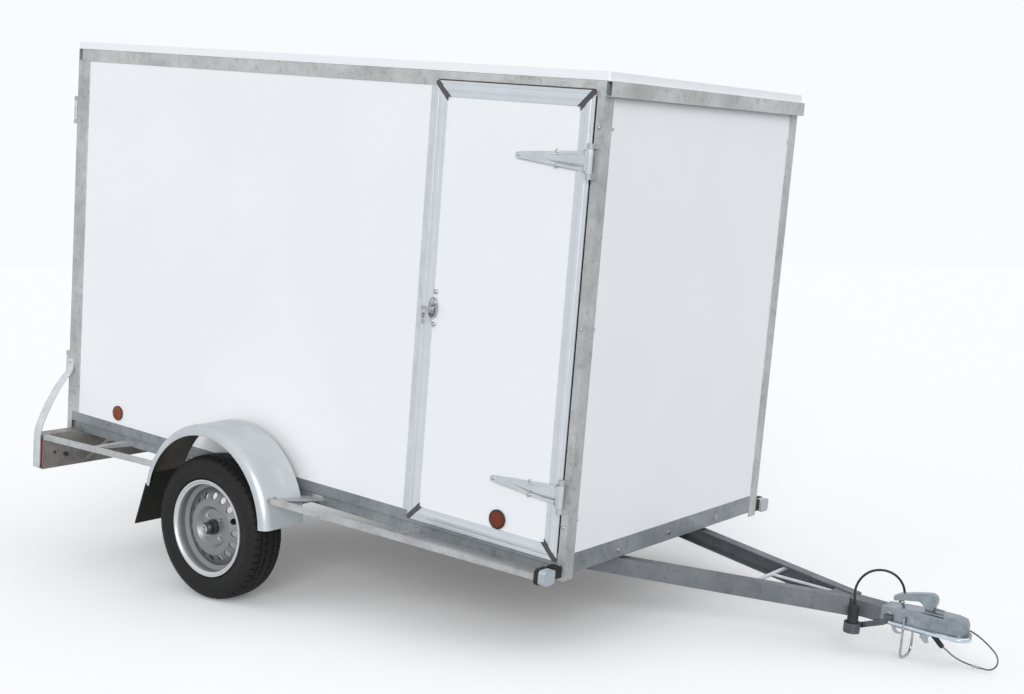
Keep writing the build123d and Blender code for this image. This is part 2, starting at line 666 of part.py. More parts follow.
# Mudguards: a pressed shell with a rounded outer skirt, turned about a centre just above the axle
guard_start = radians(GUARD_TO)
guard_plane = Plane(
    origin=(0, 0, GUARD_RISE), x_dir=(0, 1, 0), z_dir=(sin(guard_start), 0, -cos(guard_start)),
)
with BuildPart() as mudguards:
    with BuildSketch(guard_plane):
        with BuildLine() as guard_line:
            FilletPolyline(
                (-HALF - GUARD_IN, GUARD_R - GUARD_T / 2),
                (-GUARD_HALF + GUARD_T / 2, GUARD_R - GUARD_T / 2),
                (-GUARD_HALF + GUARD_T / 2, GUARD_R - GUARD_SKIRT), radius=GUARD_ROUND,
            )
            offset(amount=GUARD_T / 2, side=Side.BOTH)
        make_face()
    revolve(axis=Axis((0, 0, GUARD_RISE), (0, 1, 0)), revolution_arc=GUARD_TO - GUARD_FROM)
    mirror(about=Plane.XZ)
finish(mudguards, "mudguards")

# Rubber flaps inside the mudguards' rear ends
FLAP_R = GUARD_R - GUARD_T - 0.2


def on_guard(radius, angle):
    """Side view point on a circle about the mudguards' centre."""
    return (radius * cos(radians(angle)), GUARD_RISE + radius * sin(radians(angle)))


flap_top = on_guard(FLAP_R, GUARD_TO)
with BuildPart() as mudflaps:
    with BuildSketch(Plane.XZ.offset(HALF + FLAP_IN)):
        with BuildLine():
            Polyline(
                on_guard(FLAP_R, GUARD_TO - 6), flap_top, on_guard(FLAP_R - 0.2, GUARD_TO + 2),
                on_guard(FLAP_R - 5, GUARD_TO + 2), on_guard(FLAP_R - 5, GUARD_TO - 6), close=True,
            )
        make_face()
    extrude(amount=FLAP_TONGUE)
    with BuildSketch(Plane.XZ.offset(HALF + FLAP_IN)):
        with BuildLine():
            Polyline(
                on_guard(FLAP_R, GUARD_TO + 0.2), (flap_top[0] - 56, flap_top[1] - FLAP_DROP),
                (flap_top[0] - 51, flap_top[1] - FLAP_DROP - 2), on_guard(FLAP_R - 5, GUARD_TO + 0.2),
                close=True,
            )
        make_face()
    extrude(amount=FLAP_W)
    mirror(about=Plane.XZ)
finish(mudflaps, "mudflaps")

# Guard rails: thin angle bars from the mudguards' arms to the box's ends, and the plates under the door
ARM_LONG = GUARD_HALF - 29.0 - BEAM_FACE
ARM_TILT = atan2(ARM_TIP_Z - ARM_ROOT_Z, ARM_LONG)
STEP_TILT = radians(5.4)
RAIL_TIP = BEAM_FACE + ARM_LONG
arm_edge = on_guard(GUARD_R, degrees(asin((ARM_TIP_Z - GUARD_RISE - STEEL_T) / GUARD_R)))[0] + 0.4
arm_root = on_guard(GUARD_R, degrees(asin((ARM_ROOT_Z + 6 - GUARD_RISE) / GUARD_R)))[0] + 0.4
FRONT_RAIL = [(arm_edge + 12, RAIL_TIP, ARM_TIP_Z + 3), (BOX_FRONT - 46, HALF + 56, 148)]
REAR_RAIL = [
    (BOARD_FRONT + 0.3, BOARD_HALF, BOARD_TOP + BOARD_EAR), (-arm_edge - 6, RAIL_TIP, ARM_TIP_Z + 3),
]
OUTRIGGERS = [
    # x, half width of the bar, rail, rise at the beam
    (-730, 15, REAR_RAIL, 20),
    (DOOR_REAR + 50, 2, FRONT_RAIL, 24),
]


def along(rail, x):
    """Distance from the middle and height of a guard rail's outer top edge at a station along X."""
    t = (x - rail[0][0]) / (rail[1][0] - rail[0][0])
    return rail[0][1] + t * (rail[1][1] - rail[0][1]), rail[0][2] + t * (rail[1][2] - rail[0][2])


def slope_plane(z, tilt):
    """Plane that starts at the right chassis beam at a height and rises outward."""
    return Plane(origin=(0, -BEAM_FACE - 0.3, z), x_dir=(1, 0, 0), z_dir=(0, sin(tilt), cos(tilt)))


with BuildPart() as guard_rails:
    for start, end in (FRONT_RAIL, REAR_RAIL):
        first = Vector(start[0], -start[1], start[2])
        line = Vector(end[0], -end[1], end[2]) - first
        side = line.cross(Vector(0, 0, 1)).normalized()
        with BuildSketch(Plane(origin=first, x_dir=side, z_dir=line.normalized())):
            with BuildLine():
                Polyline(
                    (0, 0), (0, RAIL_BAR), (-STEEL_T, RAIL_BAR), (-STEEL_T, STEEL_T), (-RAIL_BAR, STEEL_T),
                    (-RAIL_BAR, 0), close=True,
                )
            make_face()
        extrude(amount=line.length)
    for way in (1, -1):
        with BuildSketch(slope_plane(ARM_ROOT_Z, ARM_TILT)):
            with BuildLine():
                Polyline(
                    (way * (arm_root - 20), 0), (way * (arm_root - 20), -(GUARD_IN - 2)),
                    (way * (arm_root + 0.4), -(GUARD_IN + 8)), (way * (arm_edge + 1), -ARM_LONG),
                    (way * (arm_edge + 24), -ARM_LONG),
                    (way * (arm_root + 52), -(GUARD_IN + 20)), (way * (arm_root + 60), 0), close=True,
                )
            make_face()
        extrude(amount=-STEEL_T)
    with BuildSketch(Plane.XZ.offset(BEAM_FACE + 0.3)):
        for way in (1, -1):
            with Locations((way * (arm_root + 20), ARM_ROOT_Z - 2)):
                Rectangle(50, 30)
    extrude(amount=STEEL_T)
    step_rear, step_front = OUTRIGGERS[1][0] - 10, FRONT_RAIL[1][0]
    with BuildSketch(slope_plane(CHASSIS_LOW + 6, STEP_TILT)):
        rear_reach = (along(FRONT_RAIL, step_rear)[0] - BEAM_FACE - 2) / cos(STEP_TILT)
        front_reach = (along(FRONT_RAIL, step_front)[0] - BEAM_FACE - 2) / cos(STEP_TILT)
        with BuildLine():
            Polyline(
                (step_rear, 0), (step_rear, -rear_reach), (step_front, -front_reach), (step_front, 0),
                close=True,
            )
        make_face()
    extrude(amount=STEEL_T)
    for x, half, rail, rise in OUTRIGGERS:
        reach, high = along(rail, x)
        with BuildSketch(Plane.YZ.offset(x - half)):
            with BuildLine():
                Polyline(
                    (-BEAM_FACE - 0.3, CHASSIS_LOW + 6), (-BEAM_FACE - 0.3, CHASSIS_LOW + 8 + rise),
                    (-BEAM_FACE - 4, CHASSIS_LOW + 8 + rise), (-reach + 1.5, high - 6),
                    (-reach + 1.5, high - 11), close=True,
                )
            make_face()
        extrude(amount=2 * half)
    mirror(about=Plane.XZ)
finish(guard_rails, "guard_rails")

# Lamp carrier behind the box: a folded board with raised ends, braced from the chassis beams
def board_profile(top):
    """Side view of the folded board up to a height."""
    return [
        (BOARD_FRONT, BOARD_LOW), (BOARD_FRONT, top), (BOARD_FRONT - BOARD_DEEP, top),
        (BOARD_FRONT - BOARD_DEEP, top - STEEL_T), (BOARD_FRONT - STEEL_T, top - STEEL_T),
        (BOARD_FRONT - STEEL_T, BOARD_LOW + STEEL_T), (BOARD_FRONT - BOARD_DEEP, BOARD_LOW + STEEL_T),
        (BOARD_FRONT - BOARD_DEEP, BOARD_LOW),
    ]


with BuildPart() as light_board:
    with BuildSketch(Plane.XZ.offset(-BOARD_HALF)):
        with BuildLine():
            Polyline(*board_profile(BOARD_TOP), close=True)
        make_face()
    extrude(amount=2 * BOARD_HALF)
    with BuildSketch(Plane.XZ.offset(HALF + 1)):
        with BuildLine():
            Polyline(*board_profile(BOARD_TOP + BOARD_EAR), close=True)
        make_face()
    extrude(amount=BOARD_OUT - 1)
    with BuildSketch(Plane.XZ.offset(BEAM_FACE - 22)):
        with BuildLine():
            Polyline(
                (BOARD_FRONT - 1, BOARD_LOW + 8), (BOARD_FRONT - 1, BOARD_LOW + 14),
                (BOARD_FRONT + 152, BOARD_TOP - 0.3),
                (BOARD_FRONT + 186, BOARD_TOP - 0.3), (BOARD_FRONT + 186, BOARD_TOP - 4.3),
                (BOARD_FRONT + 156, BOARD_TOP - 4.3), close=True,
            )
        make_face()
    extrude(amount=20)
    mirror(about=Plane.XZ)
finish(light_board, "light_board")

# Bent straps that tie the board's ends to the rear posts, leaning back towards their upper ends
strap_x = BOARD_FRONT - BOARD_DEEP
with BuildPart() as board_straps:
    with BuildSketch(Plane.YZ.offset(BOX_REAR)):
        with BuildLine():
            FilletPolyline(
                (-HALF - STRAP_T / 2, STRAP_TOP), (-HALF - STRAP_T / 2, STRAP_TOP - 46),
                (-BOARD_HALF - STRAP_T / 2, STRAP_BEND), (-BOARD_HALF - STRAP_T / 2, BOARD_LOW), radius=36,
            )
            offset(amount=STRAP_T / 2, side=Side.BOTH)
        make_face()
    extrude(amount=BOARD_FRONT - BOX_REAR)
    with BuildSketch(Plane.XZ.offset(HALF - 10)):
        with BuildLine():
            Polyline(
                (strap_x, BOARD_LOW + 1), (strap_x, STRAP_BEND), (BOX_REAR + 1, STRAP_TOP - 30),
                (BOX_REAR + 1, STRAP_TOP - 1), (BOX_REAR + 30, STRAP_TOP - 1),
                (BOX_REAR + 38, STRAP_TOP - 30),
                (strap_x + STRAP_W, STRAP_BEND), (strap_x + STRAP_W, BOARD_LOW + 1), close=True,
            )
        make_face()
    extrude(amount=BOARD_OUT + 60, mode=Mode.INTERSECT)
    mirror(about=Plane.XZ)
finish(board_straps, "board_straps")

LAMP_LONG = 230.0
LAMP_TALL = BOARD_TOP - 2 * STEEL_T - 6 - BOARD_LOW
with BuildPart() as rear_lamps:
    with BuildSketch(Plane.YZ.offset(BOARD_FRONT - STEEL_T - LAMP_DEEP)):
        with Locations((-BOARD_HALF + LAMP_LONG / 2 + 1, BOARD_LOW + STEEL_T + 3 + LAMP_TALL / 2)):
            RectangleRounded(LAMP_LONG, LAMP_TALL, 10)
    extrude(amount=LAMP_DEEP)
    mirror(about=Plane.XZ)
finish(rear_lamps, "rear_lamps")

# Front marker lamps: a rubber base and arm at each post's foot, and a clear lens
MARKER_X = BOX_FRONT - 42
with BuildPart() as marker_lamps:
    with BuildSketch(Plane.YZ.offset(MARKER_X)):
        with Locations((-MARKER_HALF, MARKER_Z)):
            RectangleRounded(62, 54, 14)
    extrude(amount=16)
    with BuildSketch(Plane.YZ.offset(MARKER_X + 4)):
        with BuildLine():
            Polyline(
                (-HALF - 0.3, MARKER_Z - 14), (-HALF - 0.3, MARKER_Z + 22), (-HALF - 14, MARKER_Z + 27),
                (-MARKER_HALF + 30.5, MARKER_Z + 27), (-MARKER_HALF + 30.5, MARKER_Z - 14), close=True,
            )
        make_face()
    extrude(amount=30)
    mirror(about=Plane.XZ)
finish(marker_lamps, "marker_lamps")

with BuildPart() as marker_lenses:
    with BuildSketch(Plane.YZ.offset(MARKER_X + 16)):
        with Locations((-MARKER_HALF, MARKER_Z)):
            RectangleRounded(58, 50, 13)
    extrude(amount=26)
    mirror(about=Plane.XZ)
finish(marker_lenses, "marker_lenses")

# Amber reflectors: one on the right wall, two on the left wall, and one on the side door
with BuildPart() as side_reflectors:
    with BuildSketch(Plane.XZ.offset(SKIN)):
        with Locations((REFLECTOR_X, REFLECTOR_Z)):
            Circle(REFLECTOR_R)
    extrude(amount=REFLECTOR_T)
    with BuildSketch(Plane.XZ.offset(-SKIN - REFLECTOR_T)):
        with Locations((REFLECTOR_X, REFLECTOR_Z), (DOOR_REFLECTOR_X, REFLECTOR_Z)):
            Circle(REFLECTOR_R)
    extrude(amount=REFLECTOR_T)
finish(side_reflectors, "side_reflectors")

# Fixed hinge halves: a folded leaf on the post with its pin
SIDE_AXIS = (DOOR_FRONT + 8, -HALF - HINGE_OUT)
REAR_AXIS = (BOX_REAR - HINGE_OUT, -HALF + 12)
PIN_TALL = HINGE_BARREL_H + 34
with BuildPart() as hinge_pins:
    for z in HINGE_Z:
        with BuildSketch(Plane.XY.offset(z - PIN_TALL / 2)):
            with Locations(SIDE_AXIS, REAR_AXIS, (REAR_AXIS[0], -REAR_AXIS[1])):
                Circle(HINGE_PIN_R)
        extrude(amount=PIN_TALL)
        for low in (z - PIN_TALL / 2, z + PIN_TALL / 2 - 16):
            with BuildSketch(Plane.XY.offset(low)):
                with Locations(SIDE_AXIS):
                    Circle(HINGE_BARREL_R)
                with BuildLine():
                    Polyline(
                        (SIDE_AXIS[0], -HALF - 4), (BOX_FRONT - 2, -HALF - 4), (BOX_FRONT - 2, -HALF),
                        (SIDE_AXIS[0] - 1, -HALF), close=True,
                    )
                make_face()
                with BuildLine():
                    Polyline(
                        (SIDE_AXIS[0], -HALF), (SIDE_AXIS[0] + 10, -HALF), (SIDE_AXIS[0] + 10, SIDE_AXIS[1]),
                        (SIDE_AXIS[0], SIDE_AXIS[1]), close=True,
                    )
                make_face()
                with Locations(REAR_AXIS, (REAR_AXIS[0], -REAR_AXIS[1])):
                    Circle(HINGE_BARREL_R)
                with Locations(
                    ((REAR_AXIS[0] + BOX_REAR) / 2, REAR_AXIS[1] - 5),
                    ((REAR_AXIS[0] + BOX_REAR) / 2, -REAR_AXIS[1] + 5),
                ):
                    Rectangle(HINGE_OUT, 10)
            extrude(amount=16)
finish(hinge_pins, "hinge_pins")


def mitre_strips(low, high, z_low, z_high, bar, half):
    """Outlines of the four diagonal strips between a door frame's bars."""
    strips = []
    for u0, su in ((low, 1), (high, -1)):
        for v0, sv in ((z_low, 1), (z_high, -1)):
            shape = [(0, 0), (half, 0), (bar + half, bar), (bar, bar), (bar, bar + half), (0, half)]
            strips.append([(u0 + su * u, v0 + sv * v) for u, v in shape])
    return strips


# Side door: aluminium frame bars with black corner blocks round a white board
DOOR_W = DOOR_FRONT - DOOR_REAR
DOOR_H = DOOR_HIGH - DOOR_LOW
DOOR_MID = ((DOOR_REAR + DOOR_FRONT) / 2, (DOOR_LOW + DOOR_HIGH) / 2)
INNER_X = (DOOR_POST_X + DOOR_POST_W + DOOR_GAP, BOX_FRONT - POST_SIDE - DOOR_GAP)
INNER_Z = (SILL_TOP + DOOR_GAP, RAIL_LOW - DOOR_GAP)
DOOR_FACE = HALF + DOOR_PROUD
with BuildPart() as side_door_frame:
    with BuildSketch(Plane.XZ.offset(DOOR_FACE - DOOR_FLANGE_T)):
        with Locations(DOOR_MID):
            Rectangle(DOOR_W, DOOR_H)
            Rectangle(DOOR_W - 2 * DOOR_BAR, DOOR_H - 2 * DOOR_BAR, mode=Mode.SUBTRACT)
        for strip in mitre_strips(DOOR_REAR, DOOR_FRONT, DOOR_LOW, DOOR_HIGH, DOOR_BAR, MITRE):
            with BuildLine():
                Polyline(*strip, close=True)
            make_face(mode=Mode.SUBTRACT)
    extrude(amount=DOOR_FLANGE_T)
    with BuildSketch(Plane.XZ.offset(DOOR_FACE - DOOR_FLANGE_T - DOOR_DEEP)):
        with Locations(((INNER_X[0] + INNER_X[1]) / 2, (INNER_Z[0] + INNER_Z[1]) / 2)):
            Rectangle(INNER_X[1] - INNER_X[0], INNER_Z[1] - INNER_Z[0])
        with Locations(DOOR_MID):
            Rectangle(DOOR_W - 2 * DOOR_BAR, DOOR_H - 2 * DOOR_BAR, mode=Mode.SUBTRACT)
    extrude(amount=DOOR_DEEP)
finish(side_door_frame, "side_door_frame")

with BuildPart() as side_door_corners:
    with BuildSketch(Plane.XZ.offset(DOOR_FACE - DOOR_FLANGE_T)):
        for strip in mitre_strips(DOOR_REAR, DOOR_FRONT, DOOR_LOW, DOOR_HIGH, DOOR_BAR, MITRE):
            with BuildLine():
                Polyline(*strip, close=True)
            make_face()
    extrude(amount=DOOR_FLANGE_T)
finish(side_door_corners, "side_door_corners")

with BuildPart() as side_door_panel:
    with BuildSketch(Plane.XZ.offset(DOOR_FACE - DOOR_FLANGE_T - DOOR_DEEP + 4)):
        with Locations(DOOR_MID):
            Rectangle(DOOR_W - 2 * DOOR_BAR, DOOR_H - 2 * DOOR_BAR)
    extrude(amount=DOOR_DEEP - 2)
finish(side_door_panel, "side_door_panel")

# Strap hinges of the side door, with their barrels round the pins
with BuildPart() as side_door_hinges:
    for z in HINGE_Z:
        with BuildSketch(Plane.XZ.offset(DOOR_FACE)):
            with BuildLine():
                Polyline(
                    (SIDE_AXIS[0] - HINGE_BARREL_R + 2, z - HINGE_TALL / 2),
                    (SIDE_AXIS[0] - HINGE_BARREL_R + 2, z + HINGE_TALL / 2),
                    (SIDE_AXIS[0] - 90, z + HINGE_TALL / 2 - 6), (SIDE_AXIS[0] - HINGE_LONG - 6, z + 12),
                    (SIDE_AXIS[0] - HINGE_LONG - 18, z), (SIDE_AXIS[0] - HINGE_LONG - 6, z - 12),
                    (SIDE_AXIS[0] - 90, z - HINGE_TALL / 2 + 6), close=True,
                )
            make_face()
        extrude(amount=HINGE_T)
        with BuildSketch(Plane.XY.offset(z - HINGE_BARREL_H / 2)):
            with Locations(SIDE_AXIS):
                Circle(HINGE_BARREL_R)
            with BuildLine():
                Polyline(
                    (SIDE_AXIS[0] - HINGE_BARREL_R - 4, -DOOR_FACE),
                    (SIDE_AXIS[0] - HINGE_BARREL_R - 4, -DOOR_FACE - HINGE_T),
                    (SIDE_AXIS[0] - 4, SIDE_AXIS[1] - 4), (SIDE_AXIS[0] - 4, -DOOR_FACE), close=True,
                )
            make_face()
            with Locations(SIDE_AXIS):
                Circle(HINGE_PIN_R + RUN_GAP, mode=Mode.SUBTRACT)
        extrude(amount=HINGE_BARREL_H)
finish(side_door_hinges, "side_door_hinges")

LOCK_FACE_T = 5.0
with BuildPart() as side_door_lock:
    with BuildSketch(Plane.XZ.offset(DOOR_FACE)):
        with Locations((LOCK_X, LOCK_Z)):
            Ellipse(20, 37)
        with Locations((LOCK_X + 6, LOCK_Z + 56), (LOCK_X + 6, LOCK_Z - 56)):
            Circle(8)
    extrude(amount=LOCK_FACE_T)
    with BuildSketch(Plane.XZ.offset(DOOR_FACE + LOCK_FACE_T)):
        with Locations((LOCK_X, LOCK_Z)):
            Circle(12)
    extrude(amount=14)
    with BuildSketch(Plane.XZ.offset(DOOR_FACE + LOCK_FACE_T + 14)):
        with Locations((LOCK_X - 4, LOCK_Z)):
            RectangleRounded(64, 15, 7)
    extrude(amount=11)
finish(side_door_lock, "side_door_lock")

with BuildPart() as side_door_reflector:
    with BuildSketch(Plane.XZ.offset(DOOR_FACE - DOOR_FLANGE_T + 2)):
        with Locations((DOOR_REFLECTOR_X, REFLECTOR_Z + REFLECTOR_STEP)):
            Circle(DOOR_REFLECTOR_R)
    extrude(amount=REFLECTOR_T)
finish(side_door_reflector, "side_door_reflector")

# Rear doors: two leaves of the same make, hinged at the rear posts
LEAF_OUT = HALF - 14
REAR_FACE = BOX_REAR - DOOR_PROUD
LEAF_W = LEAF_OUT - LEAF_GAP / 2
for side, name in ((-1, "right"), (1, "left")):
    mid = (side * (LEAF_OUT + LEAF_GAP / 2) / 2, DOOR_MID[1])
    leaf_low = LEAF_GAP / 2 if side > 0 else -LEAF_OUT
    leaf_high = LEAF_OUT if side > 0 else -LEAF_GAP / 2
    inner_low = LEAF_GAP / 2 if side > 0 else -HALF + POST_FACE + DOOR_GAP
    inner_high = HALF - POST_FACE - DOOR_GAP if side > 0 else -LEAF_GAP / 2
    with BuildPart() as rear_frame:
        with BuildSketch(Plane.YZ.offset(REAR_FACE)):
            with Locations(mid):
                Rectangle(LEAF_W, DOOR_H)
                Rectangle(LEAF_W - 2 * DOOR_BAR, DOOR_H - 2 * DOOR_BAR, mode=Mode.SUBTRACT)
            for strip in mitre_strips(leaf_low, leaf_high, DOOR_LOW, DOOR_HIGH, DOOR_BAR, MITRE):
                with BuildLine():
                    Polyline(*strip, close=True)
                make_face(mode=Mode.SUBTRACT)
        extrude(amount=DOOR_FLANGE_T)
        with BuildSketch(Plane.YZ.offset(REAR_FACE + DOOR_FLANGE_T)):
            with Locations(((inner_low + inner_high) / 2, (INNER_Z[0] + INNER_Z[1]) / 2)):
                Rectangle(inner_high - inner_low, INNER_Z[1] - INNER_Z[0])
            with Locations(mid):
                Rectangle(LEAF_W - 2 * DOOR_BAR, DOOR_H - 2 * DOOR_BAR, mode=Mode.SUBTRACT)
        extrude(amount=DOOR_DEEP)
    finish(rear_frame, "rear_door_" + name + "_frame")
    with BuildPart() as rear_corners:
        with BuildSketch(Plane.YZ.offset(REAR_FACE)):
            for strip in mitre_strips(leaf_low, leaf_high, DOOR_LOW, DOOR_HIGH, DOOR_BAR, MITRE):
                with BuildLine():
                    Polyline(*strip, close=True)
                make_face()
        extrude(amount=DOOR_FLANGE_T)
    finish(rear_corners, "rear_door_" + name + "_corners")
    with BuildPart() as rear_board:
        with BuildSketch(Plane.YZ.offset(REAR_FACE + DOOR_FLANGE_T - 2)):
            with Locations(mid):
                Rectangle(LEAF_W - 2 * DOOR_BAR, DOOR_H - 2 * DOOR_BAR)
        extrude(amount=DOOR_DEEP - 2)
    finish(rear_board, "rear_door_" + name + "_panel")
    with BuildPart() as rear_hinges:
        for z in HINGE_Z:
            with BuildSketch(Plane.YZ.offset(REAR_FACE - HINGE_T)):
                with BuildLine():
                    Polyline(
                        (side * (-REAR_AXIS[1] - HINGE_BARREL_R + 2), z - HINGE_TALL / 2),
                        (side * (-REAR_AXIS[1] - HINGE_BARREL_R + 2), z + HINGE_TALL / 2),
                        (side * (-REAR_AXIS[1] - 90), z + HINGE_TALL / 2 - 6),
                        (side * (-REAR_AXIS[1] - HINGE_LONG - 6), z + 12),
                        (side * (-REAR_AXIS[1] - HINGE_LONG - 18), z),
                        (side * (-REAR_AXIS[1] - HINGE_LONG - 6), z - 12),
                        (side * (-REAR_AXIS[1] - 90), z - HINGE_TALL / 2 + 6), close=True,
                    )
                make_face()
            extrude(amount=HINGE_T)
            with BuildSketch(Plane.XY.offset(z - HINGE_BARREL_H / 2)):
                with Locations((REAR_AXIS[0], -side * REAR_AXIS[1])):
                    Circle(HINGE_BARREL_R)
                with BuildLine():
                    Polyline(
                        (REAR_FACE, side * (-REAR_AXIS[1] - HINGE_BARREL_R - 4)),
                        (REAR_FACE - HINGE_T, side * (-REAR_AXIS[1] - HINGE_BARREL_R - 4)),
                        (REAR_AXIS[0] - 4, side * (-REAR_AXIS[1] - 4)),
                        (REAR_FACE, side * (-REAR_AXIS[1] - 4)), close=True,
                    )
                make_face()
                with Locations((REAR_AXIS[0], -side * REAR_AXIS[1])):
                    Circle(HINGE_PIN_R + RUN_GAP, mode=Mode.SUBTRACT)
            extrude(amount=HINGE_BARREL_H)
    finish(rear_hinges, "rear_door_" + name + "_hinges")

# The rear lock, on the right leaf beside the meeting edges
with BuildPart() as rear_door_right_lock:
    with BuildSketch(Plane.YZ.offset(REAR_FACE - LOCK_FACE_T)):
        with Locations((-DOOR_BAR / 2, LOCK_Z)):
            Ellipse(20, 37)
        with Locations((-DOOR_BAR / 2, LOCK_Z + 56), (-DOOR_BAR / 2, LOCK_Z - 56)):
            Circle(8)
    extrude(amount=LOCK_FACE_T)
    with BuildSketch(Plane.YZ.offset(REAR_FACE - LOCK_FACE_T - 14)):
        with Locations((-DOOR_BAR / 2, LOCK_Z)):
            Circle(12)
    extrude(amount=14)
    with BuildSketch(Plane.YZ.offset(REAR_FACE - LOCK_FACE_T - 25)):
        with Locations((-DOOR_BAR / 2 - 4, LOCK_Z)):
            RectangleRounded(64, 15, 7)
    extrude(amount=11)
finish(rear_door_right_lock, "rear_door_right_lock")

# Tyre section as half width and radius, from the bead outward, and the same for its inner face
TYRE_HALF = TYRE_W / 2
TYRE_OUTSIDE = [
    (RIM_W / 2 - 10, RIM_SEAT_R + 5.3), (RIM_W / 2 - 8.6, RIM_R - 3), (RIM_W / 2 - 4, RIM_R + 1),
    (TYRE_HALF - 4.5, RIM_R + 12), (TYRE_HALF, RIM_R + 40), (TYRE_HALF - 2.5, TYRE_R - 27),
    (TYRE_HALF - 15, TYRE_R - 9), (TYRE_HALF - 32, TYRE_R - 1.5), (TYRE_HALF - 58, TYRE_R),
]
TYRE_INSIDE = [
    (TYRE_HALF - 32, TYRE_R - 11), (TYRE_HALF - 19, TYRE_R - 17), (TYRE_HALF - 12, TYRE_R - 33),
    (TYRE_HALF - 10, RIM_R + 40), (TYRE_HALF - 15, RIM_R + 17), (RIM_W / 2 - 19, RIM_R + 1),
    (RIM_W / 2 - 23, RIM_SEAT_R + 5.3),
]

# Wheels: the same rim, hub and tyre on each side, drawn at the middle and set out by the track
for side, name in ((-1, "right"), (1, "left")):
    with BuildPart() as tyre:
        with BuildSketch(Plane.YZ):
            with BuildLine():
                Polyline(
                    *[(-y, r) for y, r in TYRE_OUTSIDE], *[(y, r) for y, r in reversed(TYRE_OUTSIDE)],
                    *[(y, r) for y, r in reversed(TYRE_INSIDE)], *[(-y, r) for y, r in TYRE_INSIDE],
                    close=True,
                )
            make_face()
        revolve(axis=Axis.Y)
    tyre.part.move(Location((0, side * WHEEL_Y, 0)))
    finish(tyre, "tyre_" + name)
    with BuildPart() as rim:
        with BuildSketch(Plane.YZ):
            with BuildLine():
                Polyline(
                    (RIM_W / 2, RIM_R), (RIM_W / 2, RIM_R - 6), (RIM_W / 2 - 4, RIM_R - 10),
                    (RIM_W / 2 - 6, RIM_SEAT_R), (30, RIM_SEAT_R - 2), (22, RIM_WELL_R),
                    (-22, RIM_WELL_R), (-34, RIM_SEAT_R - 2), (-RIM_W / 2 + 6, RIM_SEAT_R),
                    (-RIM_W / 2 + 4, RIM_R - 10), (-RIM_W / 2, RIM_R - 6), (-RIM_W / 2, RIM_R),
                    (-RIM_W / 2 + 4, RIM_R), (-RIM_W / 2 + 8, RIM_R - 4), (-RIM_W / 2 + 10, RIM_SEAT_R + 5),
                    (-34, RIM_SEAT_R + 3), (-24, RIM_WELL_R + 5), (22, RIM_WELL_R + 5), (30, RIM_SEAT_R + 3),
                    (RIM_W / 2 - 10, RIM_SEAT_R + 5), (RIM_W / 2 - 8, RIM_R - 4), (RIM_W / 2 - 4, RIM_R),
                    close=True,
                )
            make_face()
            with BuildLine():
                Polyline(
                    (DISC_FACE, BORE_R), (DISC_FACE, 66), (DISC_FACE + 14, 80), (DISC_FACE + 14, 104),
                    (DISC_FACE - 2, 130), (DISC_FACE - 16, RIM_WELL_R),
                    (DISC_FACE - 16 - RIM_WALL, RIM_WELL_R),
                    (DISC_FACE - 16 - RIM_WALL, RIM_WELL_R - 4), (DISC_FACE - 7, 128),
                    (DISC_FACE + 9, 102), (DISC_FACE + 9, 82), (DISC_FACE - RIM_WALL, 68),
                    (DISC_FACE - RIM_WALL, BORE_R), close=True,
                )
            make_face()
        revolve(axis=Axis.Y)
        with BuildSketch(Plane.XZ.offset(-RIM_W)):
            with PolarLocations(VENT_RING_R, VENT_COUNT):
                Circle(VENT_R)
            with PolarLocations(BOLT_RING_R, 4, start_angle=45):
                Circle(BOLT_HOLE_R)
        extrude(amount=2 * RIM_W, mode=Mode.SUBTRACT)
    if side < 0:
        rim.part = rim.part.mirror(Plane.XZ)
    rim.part.move(Location((0, side * WHEEL_Y, 0)))
    finish(rim, "rim_" + name)
    with BuildPart() as hub:
        with BuildSketch(Plane.YZ):
            with BuildLine():
                Polyline(
                    (DISC_FACE - RIM_WALL, SPINDLE_R + RUN_GAP),
                    (DISC_FACE - RIM_WALL - 72, SPINDLE_R + RUN_GAP),
                    (DISC_FACE - RIM_WALL - 72, 36), (DISC_FACE - RIM_WALL - 12, 44),
                    (DISC_FACE - RIM_WALL - 9, 63), (DISC_FACE - RIM_WALL, 63),
                    (DISC_FACE - RIM_WALL, BORE_R - 0.5),
                    (DISC_FACE + 12, BORE_R - 0.5), (DISC_FACE + 14, 24), (DISC_FACE + 34, 23),
                    (DISC_FACE + 40, 16), (DISC_FACE + 40, 0), (DISC_FACE + 34, 0), (DISC_FACE + 34, 18),
                    (DISC_FACE - RIM_WALL, 18), close=True,
                )
            make_face()
        revolve(axis=Axis.Y)
    if side < 0:
        hub.part = hub.part.mirror(Plane.XZ)
    hub.part.move(Location((0, side * WHEEL_Y, 0)))
    finish(hub, "hub_" + name)

# The parked stance: nose down about the axle, then up to the ground and centred over the origin
CORDS = ("trailer_lead", "safety_cable", "plug", "plug_holder")
tip = Location((0, 0, TYRE_R), (0, PARK, 0))
boxes = [piece.part.moved(tip).bounding_box() for piece in PIECES if piece.part.label not in CORDS]
SHIFT_X = -(min(box.min.X for box in boxes) + max(box.max.X for box in boxes)) / 2
park = Location((SHIFT_X, 0, TYRE_R), (0, PARK, 0))
for piece in PIECES:
    piece.part.move(park)
    export_step(piece.part, "parts/" + piece.part.label + ".step")
print("pieces", len(PIECES), "pitch", round(PARK, 6), "shift", round(SHIFT_X, 6))
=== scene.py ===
"""Enclosed cargo trailer: cords, finishes and fine pieces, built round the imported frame."""
from __future__ import annotations

import json
import logging
import math
from dataclasses import dataclass
from enum import Enum
from typing import Callable, Iterable, Sequence

import bmesh
import bpy
from mathutils import Matrix, Vector


